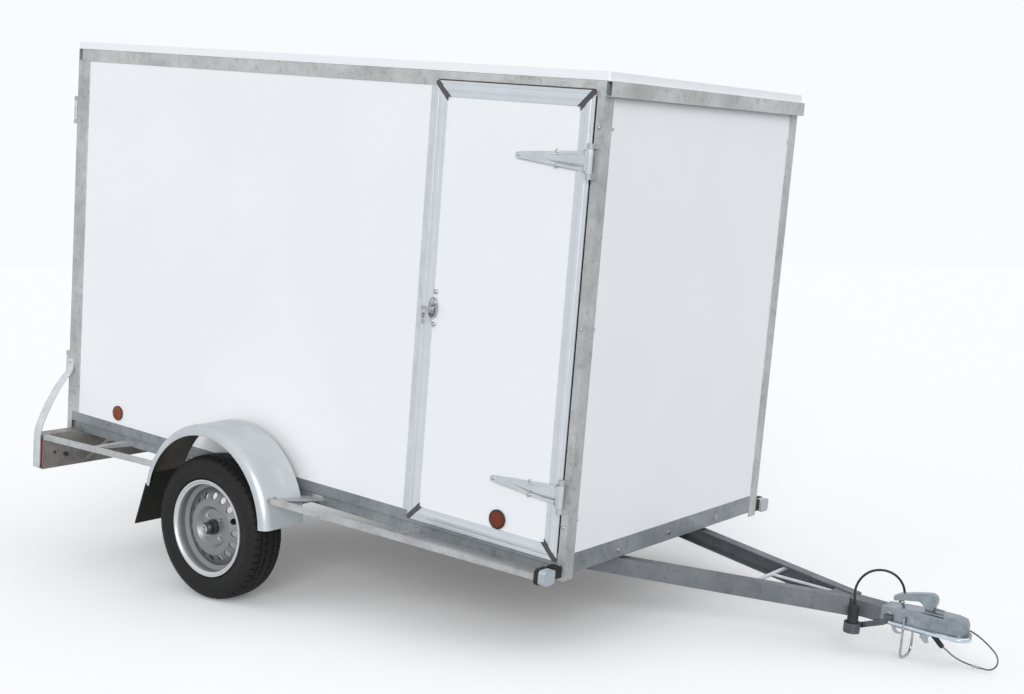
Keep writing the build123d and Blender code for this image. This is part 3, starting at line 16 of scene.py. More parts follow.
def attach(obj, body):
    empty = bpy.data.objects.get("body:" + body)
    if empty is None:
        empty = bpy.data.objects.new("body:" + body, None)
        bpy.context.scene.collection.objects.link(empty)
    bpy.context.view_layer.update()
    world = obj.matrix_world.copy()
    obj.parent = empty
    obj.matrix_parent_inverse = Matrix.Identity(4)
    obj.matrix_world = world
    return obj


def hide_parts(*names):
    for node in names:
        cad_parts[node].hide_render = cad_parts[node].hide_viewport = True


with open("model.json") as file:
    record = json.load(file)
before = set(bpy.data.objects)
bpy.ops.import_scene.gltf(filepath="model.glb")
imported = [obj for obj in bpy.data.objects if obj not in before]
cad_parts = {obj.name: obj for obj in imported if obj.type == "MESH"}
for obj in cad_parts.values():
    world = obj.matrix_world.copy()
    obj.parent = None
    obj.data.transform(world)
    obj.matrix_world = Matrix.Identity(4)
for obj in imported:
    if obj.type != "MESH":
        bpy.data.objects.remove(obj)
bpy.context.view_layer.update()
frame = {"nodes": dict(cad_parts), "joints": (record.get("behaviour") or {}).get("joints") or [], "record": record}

log = logging.getLogger("trailer")
Point = tuple[float, float, float]
MM = 0.001
# Corners nearer than this are merged, in metres
MERGE_WITHIN = 0.00002
# The least cosine between a face's normal and a way that it counts as facing
FACING = 0.9

# Directions on the level trailer
AHEAD: Point = (1.0, 0.0, 0.0)
BACKWARD: Point = (-1.0, 0.0, 0.0)
LEFTWARD: Point = (0.0, 1.0, 0.0)
RIGHTWARD: Point = (0.0, -1.0, 0.0)
UPWARD: Point = (0.0, 0.0, 1.0)

# Faces and heights of the box on the level trailer, in millimetres
DOOR_FACE_Y = -658.0
REAR_FACE_X = -1158.0
WALL_Y = 650.5
HINGE_HEIGHTS = (411.0, 1484.0)
DOOR_LOW = 190.0
DOOR_TALL = 1513.0

# The camera, solved from the box's edges in the 1024 by 694 picture
CAMERA_PLACE: Point = (3.491510, -4.497204, 1.451244)
CAMERA_TURN_DEG: Point = (84.6883, 0.3265, 37.3893)
CAMERA_LENS_MM = 52.193
SENSOR_MM = 36.0


class Slot(str, Enum):
    """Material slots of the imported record."""

    GALVANISED = "galvanised"
    ZINC = "zinc_plated"
    WHITE_BOARD = "white_board"
    BROWN_BOARD = "brown_board"
    BLACK_PLASTIC = "black_plastic"
    BLACK_SHEATH = "black_sheath"
    STEEL_ROPE = "steel_rope"
    BLACK_RUBBER = "black_rubber"
    RED_PLASTIC = "red_plastic"
    AMBER_PLASTIC = "amber_plastic"
    ANODISED = "anodised"
    TYRE = "tyre"
    RIM_PAINT = "rim_paint"
    HUB_STEEL = "hub_steel"
    CLEAR_PLASTIC = "clear_plastic"


class Body(str, Enum):
    """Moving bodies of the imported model."""

    TRAILER = "trailer"
    SIDE_DOOR = "side_door"
    REAR_DOOR_RIGHT = "rear_door_right"
    REAR_DOOR_LEFT = "rear_door_left"
    WHEEL_RIGHT = "wheel_right"
    WHEEL_LEFT = "wheel_left"


class Side(Enum):
    """The trailer's two sides, as the sign of Y."""

    RIGHT = -1.0
    LEFT = 1.0

    @property
    def word(self) -> str:
        """The side as the names of pieces and nodes say it."""
        return self.name.lower()


@dataclass(frozen=True)
class Stance:
    """How the parked trailer leans: places are given on the level trailer and turned by this.

    The level frame has X forward from the axle, Y to the left and Z up from the wheels' centres.
    """

    wheel: Point
    up: Point

    @classmethod
    def packed(cls) -> Stance:
        """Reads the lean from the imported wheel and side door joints.

        Returns:
            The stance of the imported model.
        """
        joints = {joint["name"]: joint for joint in frame["joints"]}
        wheel = joints["wheel_right_spin"]["pos_m"]
        up = joints["side_door_swing"]["axis"]
        return cls((wheel[0], 0.0, wheel[2]), tuple(up))

    def matrix(self) -> Matrix:
        """Turns level trailer places into places in the row frame.

        Returns:
            The turn and shift, in metres.
        """
        up = Vector(self.up).normalized()
        left = Vector(LEFTWARD)
        forward = left.cross(up)
        turn = Matrix((forward, left, up)).transposed().to_4x4()
        return Matrix.Translation(Vector(self.wheel)) @ turn

    def point(self, x: float, y: float, z: float) -> Vector:
        """The row-frame place of a point given on the level trailer, all in metres."""
        return self.matrix() @ Vector((x, y, z))


STANCE = Stance.packed()


class Shader:
    """A small builder of one material's nodes, with Object coordinates as its usual input."""

    def __init__(self, name: str) -> None:
        """Starts an empty material with a principled surface.

        Args:
            name: The material's name.
        """
        self.material = bpy.data.materials.new(name)
        self.material.use_nodes = True
        self.tree = self.material.node_tree
        self.tree.nodes.clear()
        self.output = self.tree.nodes.new("ShaderNodeOutputMaterial")
        self.surface = self.tree.nodes.new("ShaderNodeBsdfPrincipled")
        self.tree.links.new(self.surface.outputs["BSDF"], self.output.inputs["Surface"])
        self.coordinates = self.tree.nodes.new("ShaderNodeTexCoord").outputs["Object"]

    def set(self, **values: object) -> Shader:
        """Sets plain values on the principled surface, with underscores for spaces in the names.

        Args:
            **values: The values, by the name of their input.

        Returns:
            The shader, so that the next step can follow.
        """
        for name, value in values.items():
            self.surface.inputs[name.replace("_", " ")].default_value = value
        return self

    def node(self, kind: str, settings: dict | None = None, **inputs: object) -> bpy.types.Node:
        """Adds a node.

        Args:
            kind: Its type, without the ShaderNode prefix.
            settings: Its own properties, by name.
            **inputs: Sockets by name, as a value or as another node's output.

        Returns:
            The new node.
        """
        made = self.tree.nodes.new("ShaderNode" + kind)
        for name, value in (settings or {}).items():
            setattr(made, name, value)
        for name, value in inputs.items():
            socket = made.inputs[int(name[1:])] if name[0] == "_" else made.inputs[name.replace("_", " ")]
            if isinstance(value, bpy.types.NodeSocket):
                self.tree.links.new(value, socket)
            else:
                socket.default_value = value
        return made

    def noise(self, scale: float, detail: float = 4.0, rough: float = 0.5) -> bpy.types.NodeSocket:
        """Cloudy noise from 0 to 1 at a scale in waves a metre."""
        made = self.node("TexNoise", Vector=self.coordinates, Scale=scale, Detail=detail, Roughness=rough)
        return made.outputs["Fac"]

    def ramp(self, value: bpy.types.NodeSocket, low: float, high: float, colours: Sequence[Sequence[float]],
             ) -> bpy.types.NodeSocket:
        """Blends from the first colour at low to the second at high.

        Args:
            value: The socket that is looked up.
            low: Where the first colour ends.
            high: Where the second begins.
            colours: The two colours.

        Returns:
            The blended colour.
        """
        made = self.node("ValToRGB", Fac=value)
        for stop, place, colour in zip(made.color_ramp.elements, (low, high), colours):
            stop.position = place
            stop.color = (*colour, 1.0)
        return made.outputs["Color"]

    def level(self, value: bpy.types.NodeSocket, low: float, high: float, out_low: float, out_high: float,
              ) -> bpy.types.NodeSocket:
        """Maps a value from one range to another, clamped.

        Args:
            value: The socket that is mapped.
            low: Its lower end.
            high: Its upper end.
            out_low: The result at the lower end.
            out_high: The result at the upper end.

        Returns:
            The result's socket.
        """
        made = self.node("MapRange", Value=value)
        ends = {"From Min": low, "From Max": high, "To Min": out_low, "To Max": out_high}
        for name, number in ends.items():
            made.inputs[name].default_value = number
        return made.outputs["Result"]

    def mix(self, share: object, one: object, two: object, kind: str = "MIX") -> bpy.types.NodeSocket:
        """Mixes two colours by a share, which is a number or a socket.

        Args:
            share: How much of the second colour is used.
            one: The first colour, or its socket.
            two: The second colour, or its socket.
            kind: How the second is laid on the first.

        Returns:
            The mixed colour.
        """
        made = self.node("MixRGB", {"blend_type": kind}, Fac=share)
        for name, value in (("Color1", one), ("Color2", two)):
            if isinstance(value, bpy.types.NodeSocket):
                self.tree.links.new(value, made.inputs[name])
            else:
                made.inputs[name].default_value = (*value, 1.0)
        return made.outputs["Color"]

    def maths(self, kind: str, one: object, two: object = 0.0) -> bpy.types.NodeSocket:
        """One arithmetic step on sockets or numbers."""
        return self.node("Math", {"operation": kind}, _0=one, _1=two).outputs["Value"]

    def vector(self, kind: str, one: object, two: object = (0.0, 0.0, 0.0)) -> bpy.types.Node:
        """One step of vector arithmetic on sockets or rows of three numbers."""
        return self.node("VectorMath", {"operation": kind}, _0=one, _1=two)

    def feed(self, name: str, value: bpy.types.NodeSocket) -> Shader:
        """Links a socket into the principled surface."""
        self.tree.links.new(value, self.surface.inputs[name])
        return self

    def bump(self, height: bpy.types.NodeSocket, strength: float, distance: float) -> Shader:
        """Raises the surface by a height socket, in metres of distance."""
        made = self.node("Bump", Height=height, Strength=strength, Distance=distance)
        return self.feed("Normal", made.outputs["Normal"])


@dataclass(frozen=True)
class Finish:
    """A finish of one kind of surface, made into a material once and then shared."""

    name: str
    slot: Slot
    colour: Point
    roughness: float

    def build(self, shader: Shader) -> None:
        """Adds this finish's nodes to a fresh shader; each kind of finish has its own."""
        raise NotImplementedError

    def material(self) -> bpy.types.Material:
        """The shared material, built at its first use.

        Returns:
            The material of this finish.
        """
        found = bpy.data.materials.get(self.name)
        if found is None:
            shader = Shader(self.name)
            self.build(shader)
            found = shader.material
        return found


@dataclass(frozen=True)
class Galvanised(Finish):
    """Hot-dip zinc on steel: soft crystal patches, a dull bloom and small dark runs."""

    crystal: float = 26.0
    metallic: float = 0.35
    bloom: float = 0.24
    runs: float = 0.30

    def build(self, shader: Shader) -> None:
        """Lays crystals, bloom and runs over the zinc grey.

        Args:
            shader: The material's fresh nodes.
        """
        drift = shader.node("TexNoise", Vector=shader.coordinates, Scale=9.0)
        warp = shader.node("MixRGB", {"blend_type": "ADD"}, Fac=0.06, Color1=shader.coordinates,
                           Color2=drift.outputs["Color"])
        cells = shader.node("TexVoronoi", {"feature": "SMOOTH_F1"}, Vector=warp.outputs["Color"],
                            Scale=self.crystal, Smoothness=0.4)
        grain = shader.ramp(cells.outputs["Color"], 0.1, 0.9, [(0.93, 0.93, 0.93), (1.05, 1.05, 1.05)])
        cloud = shader.noise(5.0, 8.0, rough=0.62)
        dark = [c * (1.0 - self.bloom) for c in self.colour]
        base = shader.ramp(cloud, 0.36, 0.62, [dark, self.colour])
        spots = shader.noise(34.0, 5.0, rough=0.7)
        low = 1.0 - self.runs
        light = shader.ramp(spots, 0.30, 0.47, [(low, low, low), (1.0, 1.0, 1.0)])
        mixed = shader.mix(1.0, base, light, "MULTIPLY")
        shader.feed("Base Color", shader.mix(1.0, mixed, grain, "MULTIPLY"))
        shader.feed("Roughness", shader.level(cloud, 0.3, 0.7, self.roughness + 0.12, self.roughness - 0.05))
        shader.set(Metallic=self.metallic)
        shader.bump(shader.noise(260.0, 4.0), 0.16, 0.0005)


@dataclass(frozen=True)
class FilmBoard(Finish):
    """Smooth resin film on board: clean, with a fine grain and a soft gloss."""

    specular: float = 0.5

    def build(self, shader: Shader) -> None:
        """Adds a barely visible cloud and the film's grain.

        Args:
            shader: The material's fresh nodes.
        """
        cloud = shader.noise(2.5, 3.0)
        tone = shader.ramp(cloud, 0.35, 0.65, [[0.985 * c for c in self.colour], self.colour])
        shader.feed("Base Color", tone)
        shader.feed("Roughness", shader.level(cloud, 0.3, 0.7, self.roughness, self.roughness + 0.06))
        shader.bump(shader.noise(900.0, 2.0), 0.05, 0.0002)
        shader.set(Specular_IOR_Level=self.specular)


@dataclass(frozen=True)
class Metal(Finish):
    """Plated, anodised or painted metal with clouds of slightly different tone and gloss."""

    grain: float
    metallic: float
    contrast: float

    def build(self, shader: Shader) -> None:
        """Varies tone and gloss by one noise.

        Args:
            shader: The material's fresh nodes.
        """
        cloud = shader.noise(self.grain)
        low = [c * (1.0 - self.contrast) for c in self.colour]
        shader.feed("Base Color", shader.ramp(cloud, 0.35, 0.65, [low, self.colour]))
        shader.feed("Roughness", shader.level(cloud, 0.3, 0.7, self.roughness - 0.04, self.roughness + 0.08))
        shader.set(Metallic=self.metallic)


@dataclass(frozen=True)
class PressedZinc(Galvanised):
    """Smooth galvanised sheet of a mudguard: bright outside, dark brown and not metallic where it faces the wheel.
    """

    middle_up: float = 0.048
    film: Point = (0.10, 0.085, 0.07)

    def build(self, shader: Shader) -> None:
        """Darkens and browns the sheet, and takes its metal away, where it faces its own centre line.

        Args:
            shader: The material's fresh nodes.
        """
        super().build(shader)
        plain_colour = shader.surface.inputs["Base Color"].links[0].from_socket
        centre = tuple(STANCE.point(0.0, 0.0, self.middle_up))
        away = shader.vector("SUBTRACT", shader.coordinates, centre).outputs["Vector"]
        flat = shader.vector("MULTIPLY", away, (1.0, 0.0, 1.0)).outputs["Vector"]
        unit = shader.vector("NORMALIZE", flat).outputs["Vector"]
        turn = shader.node("TexCoord").outputs["Normal"]
        facing_in = shader.vector("DOT_PRODUCT", unit, turn).outputs["Value"]
        share = shader.level(facing_in, -0.5, -0.2, 1.0, 0.0)
        # Dark brown where the sheet faces the wheel, inside the guard
        inner_colour = shader.ramp(shader.noise(22.0, 6.0), 0.3, 0.7, [[0.6 * c for c in self.film], self.film])
        shader.feed("Base Color", shader.mix(share, plain_colour, inner_colour))
        shader.feed("Metallic", shader.level(share, 0.0, 1.0, self.metallic, 0.0))


@dataclass(frozen=True)
class WheelPaint(Metal):
    """Silver wheel paint: plain on the rim's lip, greyer towards the sunken disc."""

    lip_at: float = 0.862
    disc_at: float = 0.846
    disc_tone: float = 0.40

    def build(self, shader: Shader) -> None:
        """Greys the paint from the lip inwards.

        Args:
            shader: The material's fresh nodes.
        """
        super().build(shader)
        plain_colour = shader.surface.inputs["Base Color"].links[0].from_socket
        across = shader.node("SeparateXYZ", Vector=shader.coordinates).outputs["Y"]
        # Greyer towards the sunken disc, by distance in from the lip
        deep = shader.level(shader.maths("ABSOLUTE", across), self.disc_at, self.lip_at, self.disc_tone, 1.0)
        grey = shader.node("CombineXYZ", X=deep, Y=deep, Z=deep).outputs["Vector"]
        shader.feed("Base Color", shader.mix(1.0, plain_colour, grey, "MULTIPLY"))


@dataclass(frozen=True)
class Moulded(Finish):
    """Moulded plastic or rubber with a fine grain and a little dust in clouds."""

    dust: float = 0.25
    grain: float = 700.0
    specular: float = 0.4

    def build(self, shader: Shader) -> None:
        """Adds pores and a film of dust.

        Args:
            shader: The material's fresh nodes.
        """
        cloud = shader.noise(14.0, 6.0)
        disc_tone = [c + self.dust * 0.12 for c in self.colour]
        shader.feed("Base Color", shader.ramp(cloud, 0.45, 0.8, [self.colour, disc_tone]))
        rougher = min(1.0, self.roughness + 0.2)
        shader.feed("Roughness", shader.level(cloud, 0.3, 0.8, self.roughness, rougher))
        shader.set(Specular_IOR_Level=self.specular)
        shader.bump(shader.noise(self.grain, 2.0), 0.15, 0.0004)


@dataclass(frozen=True)
class Lens(Finish):
    """A moulded lens with rows of small prisms behind its face."""

    pitch: float = 260.0
    depth: float = 0.35

    def build(self, shader: Shader) -> None:
        """Darkens and brightens the face prism by prism.

        Args:
            shader: The material's fresh nodes.
        """
        cells = shader.node("TexVoronoi", {"feature": "F1", "distance": "CHEBYCHEV"},
                            Vector=shader.coordinates, Scale=self.pitch, Randomness=0.0)
        deep = [c * self.depth for c in self.colour]
        shader.feed("Base Color", shader.ramp(cells.outputs["Distance"], 0.1, 0.6, [self.colour, deep]))
        shader.set(Roughness=self.roughness, Specular_IOR_Level=0.35)
        shader.bump(cells.outputs["Distance"], 0.25, 0.0005)


ZINC_FRAME = Galvanised("zinc_frame", Slot.GALVANISED, (0.52, 0.525, 0.53), 0.42)
# Lit and shaded copies of the galvanised finish: the top rails' copy is lighter for painted light, and the copies
# for the sills, cross members and drawbar are darker for painted shade
ZINC_RAIL_LIT = Galvanised("zinc_rail", Slot.GALVANISED, (0.56, 0.575, 0.57), 0.42)
ZINC_SILL_SHADED = Galvanised("zinc_sill", Slot.GALVANISED, (0.29, 0.315, 0.33), 0.44)
ZINC_DEEP_SHADE = Galvanised("zinc_dark", Slot.GALVANISED, (0.19, 0.205, 0.22), 0.46)
# A paler, bluer copy of the galvanised finish: painted highlight on the drawbar braces, the door post and the
# board's straps
ZINC_PALE_LIT = Galvanised("zinc_pale", Slot.GALVANISED, (0.64, 0.68, 0.71), 0.38,
                       crystal=26.0, metallic=0.3, bloom=0.12, runs=0.10)
ZINC_GUARD = PressedZinc("zinc_guard", Slot.GALVANISED, (0.54, 0.57, 0.59), 0.30,
                         crystal=12.0, metallic=0.45, bloom=0.05, runs=0.02)
# Cast zinc of the coupling's housing and handle; its dark tone is painted shade on the side faces
ZINC_CAST_SHADED = Galvanised("zinc_cast", Slot.ZINC, (0.30, 0.335, 0.365), 0.28,
                       crystal=60.0, metallic=0.75, bloom=0.30, runs=0.30)
# A darker, browner copy of the galvanised finish for the light board, whose face sits in shade: painted shade
ZINC_BOARD_SHADED = Galvanised("zinc_board", Slot.GALVANISED, (0.34, 0.33, 0.31), 0.45,
                        crystal=26.0, metallic=0.3, bloom=0.35, runs=0.35)
PLATED = Metal("zinc_plated_press", Slot.ZINC, (0.46, 0.49, 0.51), 0.28,
               grain=60.0, metallic=0.85, contrast=0.22)
STRAP_PLATE = Metal("hinge_plate", Slot.GALVANISED, (0.60, 0.63, 0.65), 0.18,
                    grain=14.0, metallic=0.9, contrast=0.10)
HOLDER_PLATE = Metal("holder_plate", Slot.ZINC, (0.13, 0.14, 0.15), 0.34,
                     grain=40.0, metallic=0.7, contrast=0.30)
CHROME = Metal("bright_chrome", Slot.ZINC, (0.50, 0.50, 0.51), 0.12,
               grain=90.0, metallic=1.0, contrast=0.35)
WHITE_FILM = FilmBoard("white_film", Slot.WHITE_BOARD, (0.90, 0.92, 0.94), 0.34)
ROOF_FILM = FilmBoard("roof_film", Slot.WHITE_BOARD, (0.90, 0.92, 0.94), 0.78, specular=0.15)
BROWN_FILM = FilmBoard("brown_film", Slot.BROWN_BOARD, (0.16, 0.10, 0.07), 0.45)
ALUMINIUM = Metal("anodised_profile", Slot.ANODISED, (0.63, 0.665, 0.70), 0.30,
                  grain=14.0, metallic=0.45, contrast=0.04)
BLACK_MOULDING = Moulded("black_moulding", Slot.BLACK_PLASTIC, (0.014, 0.014, 0.015), 0.42)
CORNER_MOULDING = Moulded("corner_moulding", Slot.BLACK_PLASTIC, (0.075, 0.068, 0.070), 0.45)
BLACK_RUBBER = Moulded("black_rubber_sheet", Slot.BLACK_RUBBER, (0.012, 0.011, 0.010), 0.6, dust=0.1)
# Dark brown strip above the side door: a painted shadow of the gap under the top rail
SHADOW_STRIP = Moulded("seal_rubber", Slot.BLACK_RUBBER, (0.06, 0.045, 0.035), 0.6, dust=0.6)
SHEATH = Moulded("lead_sheath", Slot.BLACK_SHEATH, (0.012, 0.012, 0.012), 0.4, dust=0.1)
TYRE_RUBBER = Moulded("tyre_rubber", Slot.TYRE, (0.0085, 0.0080, 0.0080), 0.58,
                      dust=0.06, grain=500.0, specular=0.28)
ROPE = Metal("rope_wire", Slot.STEEL_ROPE, (0.16, 0.155, 0.15), 0.36,
             grain=300.0, metallic=0.8, contrast=0.3)
SILVER = WheelPaint("silver_paint", Slot.RIM_PAINT, (0.60, 0.61, 0.63), 0.34,
                    grain=900.0, metallic=0.45, contrast=0.10)
HUB_METAL = Metal("hub_metal", Slot.HUB_STEEL, (0.055, 0.055, 0.06), 0.35,
                  grain=300.0, metallic=0.6, contrast=0.2)
AMBER = Lens("amber_prisms", Slot.AMBER_PLASTIC, (0.52, 0.105, 0.004), 0.10, pitch=300.0, depth=0.18)
# A darker copy of the amber lens for the door reflector; with the brighter copy on the side reflectors it paints
# light and shade on one lens
AMBER_SHADED = Lens("amber_deep_prisms", Slot.AMBER_PLASTIC, (0.28, 0.036, 0.002), 0.10,
                  pitch=300.0, depth=0.18)
RED = Lens("red_prisms", Slot.RED_PLASTIC, (0.34, 0.008, 0.010), 0.16)
# Bright bluish finish of the coupling's lip: a painted highlight along the housing's lower edge
LIP_HIGHLIGHT = Metal("lip_plate", Slot.ZINC, (0.62, 0.70, 0.78), 0.22,
                   grain=60.0, metallic=0.6, contrast=0.12)
CLEAR = Lens("clear_prisms", Slot.CLEAR_PLASTIC, (0.52, 0.57, 0.62), 0.12, pitch=150.0, depth=0.7)

# The finish of each CAD node, by its record slot
BY_SLOT = {
    Slot.GALVANISED: ZINC_FRAME,
    Slot.ZINC: PLATED,
    Slot.WHITE_BOARD: WHITE_FILM,
    Slot.BROWN_BOARD: BROWN_FILM,
    Slot.BLACK_PLASTIC: BLACK_MOULDING,
    Slot.BLACK_SHEATH: SHEATH,
    Slot.STEEL_ROPE: ROPE,
    Slot.BLACK_RUBBER: BLACK_RUBBER,
    Slot.RED_PLASTIC: RED,
    Slot.AMBER_PLASTIC: AMBER,
    Slot.ANODISED: ALUMINIUM,
    Slot.TYRE: TYRE_RUBBER,
    Slot.RIM_PAINT: SILVER,
    Slot.HUB_STEEL: HUB_METAL,
    Slot.CLEAR_PLASTIC: CLEAR,
}
# Nodes whose finish differs from their slot's usual one; some are lit and shaded copies of one finish, which paint
# light and shade
BY_NODE = {
    "roof_panel": ROOF_FILM,
    "top_rails": ZINC_RAIL_LIT,
    "sills": ZINC_SILL_SHADED,
    "cross_members": ZINC_SILL_SHADED,
    "drawbar_beams": ZINC_DEEP_SHADE,
    "drawbar_braces": ZINC_PALE_LIT,
    "head_tube": ZINC_DEEP_SHADE,
    "door_post": ZINC_PALE_LIT,
    "mudguards": ZINC_GUARD,
    "coupling_housing": ZINC_CAST_SHADED,
    "coupling_handle": ZINC_CAST_SHADED,
    "plug_holder": HOLDER_PLATE,
    "rest_hoop": CHROME,
    "light_board": ZINC_BOARD_SHADED,
    "side_door_corners": CORNER_MOULDING,
}


def deselect() -> None:
    """Leaves edit mode and clears the selection."""
    if bpy.context.object and bpy.context.object.mode != "OBJECT":
        bpy.ops.object.mode_set(mode="OBJECT")
    bpy.ops.object.select_all(action="DESELECT")


def take_up(piece: bpy.types.Object) -> None:
    """Selects one piece alone and makes it the active one.

    Args:
        piece: The piece.
    """
    deselect()
    piece.select_set(True)
    bpy.context.view_layer.objects.active = piece


def set_down(piece: bpy.types.Object, place: Matrix) -> None:
    """Puts a piece at a place and moves that place into its mesh.

    Args:
        piece: The piece.
        place: Its new place and turn.
    """
    take_up(piece)
    piece.matrix_world = place
    bpy.ops.object.transform_apply(location=True, rotation=True, scale=True)


def own_copy(shape: bpy.types.Object) -> bpy.types.Object:
    """A copy of a shape with its own mesh.

    Args:
        shape: What is copied.

    Returns:
        The copy, linked to the scene.
    """
    copy = shape.copy()
    copy.data = shape.data.copy()
    bpy.context.scene.collection.objects.link(copy)
    return copy


# The lead's route, from the plug up over its loop and back along the left beam, on the level trailer
LEAD_LOOP_MM = [
    (2220, -62, 136), (2213, -61, 172), (2228, -55, 218), (2258, -44, 247), (2294, -26, 254), (2324, -4, 241),
    (2342, 18, 212), (2346, 38, 177), (2337, 52, 145), (2312, 59, 121), (2270, 62, 110), (2206, 66, 104),
]
# The run along the beam: bends, their spacing, where it starts, and the beam's slope outwards
LEAD_BENDS = 7
LEAD_STEP = 91
LEAD_RUN_MM = (2195, 45, 106)
BEAM_SLOPE = 0.337931
# The safety cable's route and the middle of its hook's eye
CABLE_MM = [
    (2452.3, 44, 104), (2490, 45, 106), (2529, 50, 109), (2565, 47, 109), (2595, 32, 106), (2626, 15, 99),
    (2657, 0, 87), (2684, -10, 69), (2688, -15, 42), (2670, -18, 21.5), (2640, -19, 20.5), (2609, -20, 21.5),
    (2579, -22, 25.5), (2552, -26, 34.5), (2530, -31, 50),
]
HOOK_MM = (2512, -34, 61)
HOOK_REACH_MM = 8.4


@dataclass
class Cord:
    """A free cord: one smooth line through its route's points, with a round section."""

    name: str
    route_mm: Sequence[Point]
    diameter: float
    length: float
    far_end: str
    stiffness: str
    lay: str
    finish: Finish
    node: str
    on_it: Sequence[str]

    def build(self) -> bpy.types.Object:
        """Draws the cord along its route.

        Returns:
            The curve object.
        """
        deselect()
        line = bpy.data.curves.new(self.name, "CURVE")
        line.dimensions = "3D"
        spline = line.splines.new("NURBS")
        spline.points.add(len(self.route_mm) - 1)
        places = [STANCE.point(*level(*place)) for place in self.route_mm]
        for point, place in zip(spline.points, places):
            point.co = (*place, 1.0)
        spline.order_u = 3
        spline.use_endpoint_u = True
        line.resolution_u = 10
        line.bevel_depth = self.diameter / 2
        line.bevel_resolution = 4
        line.use_fill_caps = True
        cord = bpy.data.objects.new(self.name, line)
        bpy.context.scene.collection.objects.link(cord)
        line.materials.append(self.finish.material())
        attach(cord, Body.TRAILER.value)
        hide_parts(self.node)
        return cord


def lead_route() -> list[Point]:
    """The trailer lead's route: its loop, then small bends back along the left beam.

    Returns:
        Its points on the level trailer, in millimetres.
    """
    route: list[Point] = list(LEAD_LOOP_MM)
    x, y, z = LEAD_RUN_MM
    for step in range(1, LEAD_BENDS + 1):
        back = LEAD_STEP * step
        sway = step % 2
        route.append((x - back, y + back * BEAM_SLOPE + 9 + 4 * sway, z - 5 * sway))
    return route


def cable_route() -> list[Point]:
    """The safety cable's route, ending at its hook's eye.

    Returns:
        Its points on the level trailer, in millimetres.
    """
    eye = Vector(HOOK_MM)
    reach = (Vector(CABLE_MM[-1]) - eye).normalized() * HOOK_REACH_MM
    return [*CABLE_MM, tuple(eye + reach)]


Test = Callable[[Vector, Vector], bool]


def level(x: float, y: float, z: float) -> Vector:
    """A place on the level trailer, given in millimetres and returned in metres."""
    return Vector((x * MM, y * MM, z * MM))


